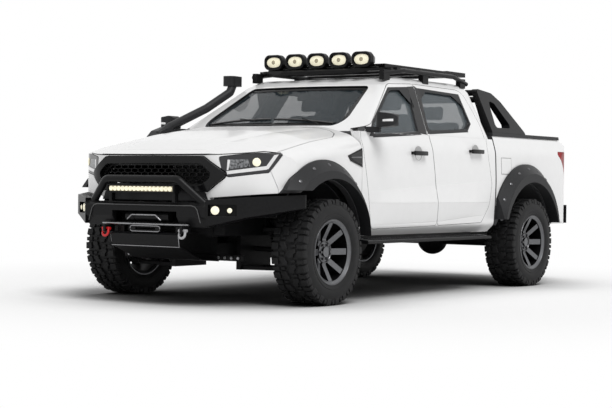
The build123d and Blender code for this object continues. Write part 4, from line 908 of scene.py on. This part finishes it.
# Tail lamps: red moulded lenses that wrap round the rear corners, with a clear band and darker chambers
# behind them. Each is screwed to the bed's corner.
tail_red = surface("tail_red", (0.24, 0.002, 0.004), 0.14, grain=200, spread=0.2, bump=0.05, specular=0.12)
dress(tail_red, "tail_lamps")
tail_clear = surface("tail_clear", (0.55, 0.5, 0.5), 0.12, 0.3, grain=500, spread=0.15, bump=0.2)
tail_dark = surface("tail_dark", (0.10, 0.004, 0.005), 0.12, grain=300, spread=0.3, bump=0.1)
rear_ray = (1, 0, 0)
clear_bands, dark_bands = bmesh.new(), bmesh.new()
# Rows: form, inner y, outer y, foot, top, lift
for form, inner, outer, low, high, lift in (
        (clear_bands, 0.800, 0.872, 1.000, 1.060, 0.001), (dark_bands, 0.803, 0.868, 0.885, 0.985, 0.0008),
        (dark_bands, 0.803, 0.868, 1.075, 1.200, 0.0008)):
    corners = ((-4.15, inner, low), (-4.15, outer, low), (-4.15, outer, high), (-4.15, inner, high))
    laid_on(form, "tail_lamps", corners, (6, 3), rear_ray, lift, 0.003)
finish_piece("tail_lamp_clear_bands", joined(clear_bands), tail_clear, root)
finish_piece("tail_lamp_chambers", joined(dark_bands), tail_dark, root)

# Tailgate fittings: a raised field pressed into the white steel gate, and a black moulded bar handle
# clipped in above it. Both move with the gate.
gate_field = bmesh.new()
box(gate_field, (along_axle(-4.1645), 0, 0.955), (0.008, 1.22, 0.215))
field_corners = [edge for edge in gate_field.edges if abs((edge.verts[0].co - edge.verts[1].co).x) > 0.004]
soften(gate_field, field_corners, 0.05, 5)
finish_piece("gate_field", gate_field, gate_enamel, "tailgate", angle=50)
gate_handle = bmesh.new()
box(gate_handle, (along_axle(-4.1675), 0, 1.205), (0.006, 0.30, 0.085))
soften(gate_handle, gate_handle.edges, 0.0025, 2)
box(gate_handle, (along_axle(-4.175), 0, 1.223), (0.016, 0.24, 0.022))
finish_piece("gate_handle", gate_handle, gloss_black, "tailgate", angle=50)

# Fuel flap on the left of the bed: a white flap of pressed steel in a thin gap, hinged inside and
# flush with the panel. The gap is a dark sheet under the flap, painted shade.
flap_gap, flap = bmesh.new(), bmesh.new()
# Rows: form, front x, rear x, foot, top, lift
for form, front_x, rear_x, low, high, lift in (
        (flap_gap, -2.764, -2.954, 0.990, 1.135, 0.0006), (flap, -2.768, -2.950, 0.994, 1.131, 0.0016)):
    rows = ((front_x, low), (rear_x, low), (rear_x, high), (front_x, high))
    laid_on(form, "load_bed", beside(rows, 0.95), (8, 6), side_ray, lift, 0.002)
finish_piece("fuel_flap_gap", flap_gap, dark_mesh_and_gap_shade, root)
finish_piece("fuel_flap", flap, gate_enamel, root)

# Mirror glasses: silvered glass clipped into the rear of each mirror's housing, and a clear moulded turn
# lamp along its front. They move with the front doors.
mirror_silver = surface(
    "mirror_silver", (0.8, 0.82, 0.84), 0.02, 1.0, grain=60, spread=0.03, rough_spread=0.01)
for side in ("left", "right"):
    glass, strip = bmesh.new(), bmesh.new()
    laid_on(glass, "mirror_left", (
        (-0.712, 1.128, 1.336), (-0.712, 0.990, 1.330), (-0.712, 0.996, 1.424), (-0.712, 1.130, 1.408)),
        (6, 4), rear_ray, 0.0008, 0.002)
    laid_on(strip, "mirror_left", (
        (-0.60, 1.060, 1.364), (-0.60, 1.134, 1.366), (-0.60, 1.134, 1.384), (-0.60, 1.060, 1.380)),
        (12, 2), front_ray, 0.0015, 0.003)
    for name, form, finish, slot in (
            ("mirror_glass", glass, mirror_silver, "lamp_clear"),
            ("mirror_lamp", strip, lamp_silver, "lamp_clear")):
        placed = form if side == "left" else mirrored(form)
        finish_piece(f"{name}_{side}", placed, finish, f"door_{side}_front")

# Side steps: ribs for grip pressed into the tread of each step, and a black moulded guard along the sill
# behind it, clipped to the cab.
rib_count, rib_spacing = 46, 0.0395
tread_slope = Matrix.Rotation(radians(-5.2), 4, "X")
step_ribs = bmesh.new()
for place in range(rib_count):
    x = -0.60 - place * rib_spacing
    box(step_ribs, (along_axle(x), 0.952, 0.4685), (0.016, 0.085, 0.004), tread_slope)
finish_piece("step_ribs", joined(step_ribs), grained_plastic, root, smooth=False)
sill_guards = bmesh.new()
box(sill_guards, (along_axle(-1.51), 0.80, 0.472), (1.94, 0.012, 0.075))
soften(sill_guards, sill_guards.edges, 0.004, 2)
finish_piece("sill_guards", joined(sill_guards), grained_plastic, root)

# Rods: the tube under each step's outer edge, a bright steel hook bar in front of the winch and the
# polished rim of the fairlead. Each is bent from round rod and welded or bolted on.
bright_steel = surface("bright_steel", (0.30, 0.30, 0.31), 0.28, 0.9, grain=500, spread=0.1, bump=0.04)
bead_coat = surface("bead_coat", (0.02, 0.02, 0.021), 0.25, grain=500, spread=0.1, bump=0.03, specular=0.8)


def bent_rod(form, points, radius, sides=10):
    """A round rod through points, from one ring of vertices drawn along and turned at each bend. Points
    are given from the front axle."""
    points = [Vector((along_axle(x), y, z)) for x, y, z in points]
    ring = bmesh.ops.create_circle(form, cap_ends=True, segments=sides, radius=radius)["verts"]
    for place, point in enumerate(points):
        ahead = points[min(place + 1, len(points) - 1)] - points[max(place - 1, 0)]
        turn = ahead.to_track_quat("Z", "Y").to_matrix().to_4x4()
        if place:
            edges = {edge for corner in ring for edge in corner.link_edges if edge.other_vert(corner) in ring}
            ring = drawn_corners(bmesh.ops.extrude_edge_only(form, edges=list(edges)))
            bmesh.ops.transform(form, matrix=(Matrix.Translation(last) @ last_turn).inverted(), verts=ring)
        bmesh.ops.transform(form, matrix=Matrix.Translation(point) @ turn, verts=ring)
        last, last_turn = point, turn
    bmesh.ops.contextual_create(form, geom=ring)


step_tubes = bmesh.new()
bent_rod(step_tubes, [(x, y, 0.448) for x, y in (
    (-0.52, 0.93), (-0.56, 0.985), (-0.64, 1.000), (-2.34, 1.000), (-2.42, 0.985), (-2.46, 0.93))], 0.009)
finish_piece("step_tubes", joined(step_tubes), bead_coat, root)
hook_bar = bmesh.new()
bent_rod(hook_bar, (
    (0.908, -0.155, 0.612), (0.914, -0.150, 0.618), (0.914, -0.110, 0.648), (0.914, 0.110, 0.648),
    (0.914, 0.150, 0.618), (0.908, 0.155, 0.612)), 0.005)
finish_piece("hook_bar", hook_bar, bright_steel, root)
fairlead_rim = bmesh.new()
bent_rod(fairlead_rim, [(0.8965, y, z) for y, z in (
    (0.0, 0.569), (0.122, 0.569), (0.136, 0.562), (0.139, 0.549), (0.136, 0.536), (0.122, 0.529),
    (-0.122, 0.529),
    (-0.136, 0.536), (-0.139, 0.549), (-0.136, 0.562), (-0.122, 0.569), (0.0, 0.569))], 0.0035, 8)
finish_piece("fairlead_rim", fairlead_rim, bright_steel, root)

# Lower grille: a black moulded panel clipped to the nose behind the hoop, under the main grille. It has
# no openings here, because the hoop and the bar hide them.
lower_grille = bmesh.new()
laid_on(lower_grille, "nose_panel", (
    (0.84, -0.500, 0.735), (0.84, 0.500, 0.735), (0.84, 0.455, 0.842), (0.84, -0.455, 0.842)),
    (30, 6), front_ray, 0.003, 0.006)
finish_piece("lower_grille", lower_grille, grained_plastic, root)

# Bar edging: a raised steel bead welded round the bar's centre plate under the same coat, and a bright
# rod bolted across in front of the winch.
bar_bead = bmesh.new()
bent_rod(bar_bead, (
    (0.915, -0.520, 0.600), (0.9165, -0.490, 0.690), (0.9165, -0.470, 0.712), (0.9165, -0.440, 0.720),
    (0.9165, 0.440, 0.720), (0.9165, 0.470, 0.712), (0.9165, 0.490, 0.690), (0.915, 0.520, 0.600)), 0.005)
finish_piece("bar_bead", bar_bead, bead_coat, root)
cross_rod = bmesh.new()
bent_rod(cross_rod, ((0.897, -0.40, 0.582), (0.897, 0.40, 0.582)), 0.006)
finish_piece("cross_rod", cross_rod, bright_steel, root)

# Under-guards: two folded steel trays behind the skid plate with a cross beam and its bolts, bolted
# between the chassis rails, open round the front drive shafts, and a plate behind the winch.
tray_floor, beam_z = 0.316, 0.340
guards = bmesh.new()
# Rows: front x, rear x, height of the side flanges, height of the front flange
for front_x, rear_x, side_z, front_z in ((0.436, 0.11, 0.44, 0.56), (-0.12, -1.05, 0.43, 0.43)):
    tray = bmesh.new()
    floor_face = flat_outline(
        tray, ((front_x, -0.30), (front_x, 0.30), (rear_x, 0.27), (rear_x, -0.27)),
        lambda x, y: (along_axle(x), y, tray_floor))
    side_edges = [edge for edge in floor_face.edges if abs(edge.verts[0].co.x - edge.verts[1].co.x) > 0.01]
    front_edge = max(set(floor_face.edges) - set(side_edges), key=lambda edge: edge.verts[0].co.x)
    for edge, height in [(front_edge, front_z)] + [(edge, side_z) for edge in side_edges]:
        raised = drawn_corners(bmesh.ops.extrude_edge_only(tray, edges=[edge]))
        bmesh.ops.translate(tray, verts=raised, vec=(0, 0, height - tray_floor))
    bmesh.ops.recalc_face_normals(tray, faces=tray.faces)
    bmesh.ops.solidify(tray, geom=tray.faces[:], thickness=0.004)
    add_part(guards, tray)
cross_beam = box(guards, (along_axle(0.452), 0, beam_z), (0.026, 1.12, 0.044))
soften(guards, edges_of(cross_beam), 0.006, 2)
winch_backing = box(guards, (along_axle(0.690), 0, 0.615), (0.006, 1.12, 0.20))
soften(guards, edges_of(winch_backing), 0.0015, 1)
finish_piece("under_guards", guards, frame_paint, root, smooth=False)
beam_bolts = bmesh.new()
for y in (0.335, 0.395, 0.455, 0.515):
    disc(beam_bolts, (along_axle(0.4645), y, beam_z), (1, 0, 0),
         ((0.0, 0.0125), (0.007, 0.0125), (0.010, 0.010), (0.010, 0.0)), 6)
finish_piece("beam_bolts", joined(beam_bolts), bright_steel, root, smooth=False)
skid_edge = bmesh.new()
bent_rod(skid_edge, (
    (0.905, 0.314, 0.500), (0.893, 0.314, 0.424), (0.893, -0.314, 0.424), (0.905, -0.314, 0.500)), 0.003, 8)
finish_piece("skid_edge", skid_edge, bright_steel, root)

# Coil springs round the front dampers, wound from thick steel rod under frame paint, and held between
# the lower arm and the tower.
springs = bmesh.new()
coil_foot, coil_top = Vector((0, 0.553, 0.40)), Vector((0, 0.514, 0.712))
coil_radius, coil_turns, coil_steps = 0.058, 6, 96
coil_points = []
for place in range(coil_steps + 1):
    share = place / coil_steps
    turn = tau * coil_turns * share
    middle = coil_foot.lerp(coil_top, share)
    coil_points.append((middle.x + coil_radius * cos(turn), middle.y + coil_radius * sin(turn), middle.z))
bent_rod(springs, coil_points, 0.007, 8)
finish_piece("coil_springs", joined(springs), frame_paint, root)

# Cabin mirror: a dark moulded housing on a short stem, glued to the inside of the windscreen and leaning
# down to the driver.
cabin_mirror = bmesh.new()
mirror_lean = Matrix.Rotation(radians(-12), 4, "Y")
box(cabin_mirror, (along_axle(-1.175), 0, 1.60), (0.03, 0.24, 0.065), mirror_lean)
soften(cabin_mirror, cabin_mirror.edges, 0.012, 3)
bent_rod(cabin_mirror, ((-1.165, 0, 1.615), (-1.13, 0, 1.64), (-1.10, 0, 1.665)), 0.009)
finish_piece("cabin_mirror", cabin_mirror, cabin_plastic, root)
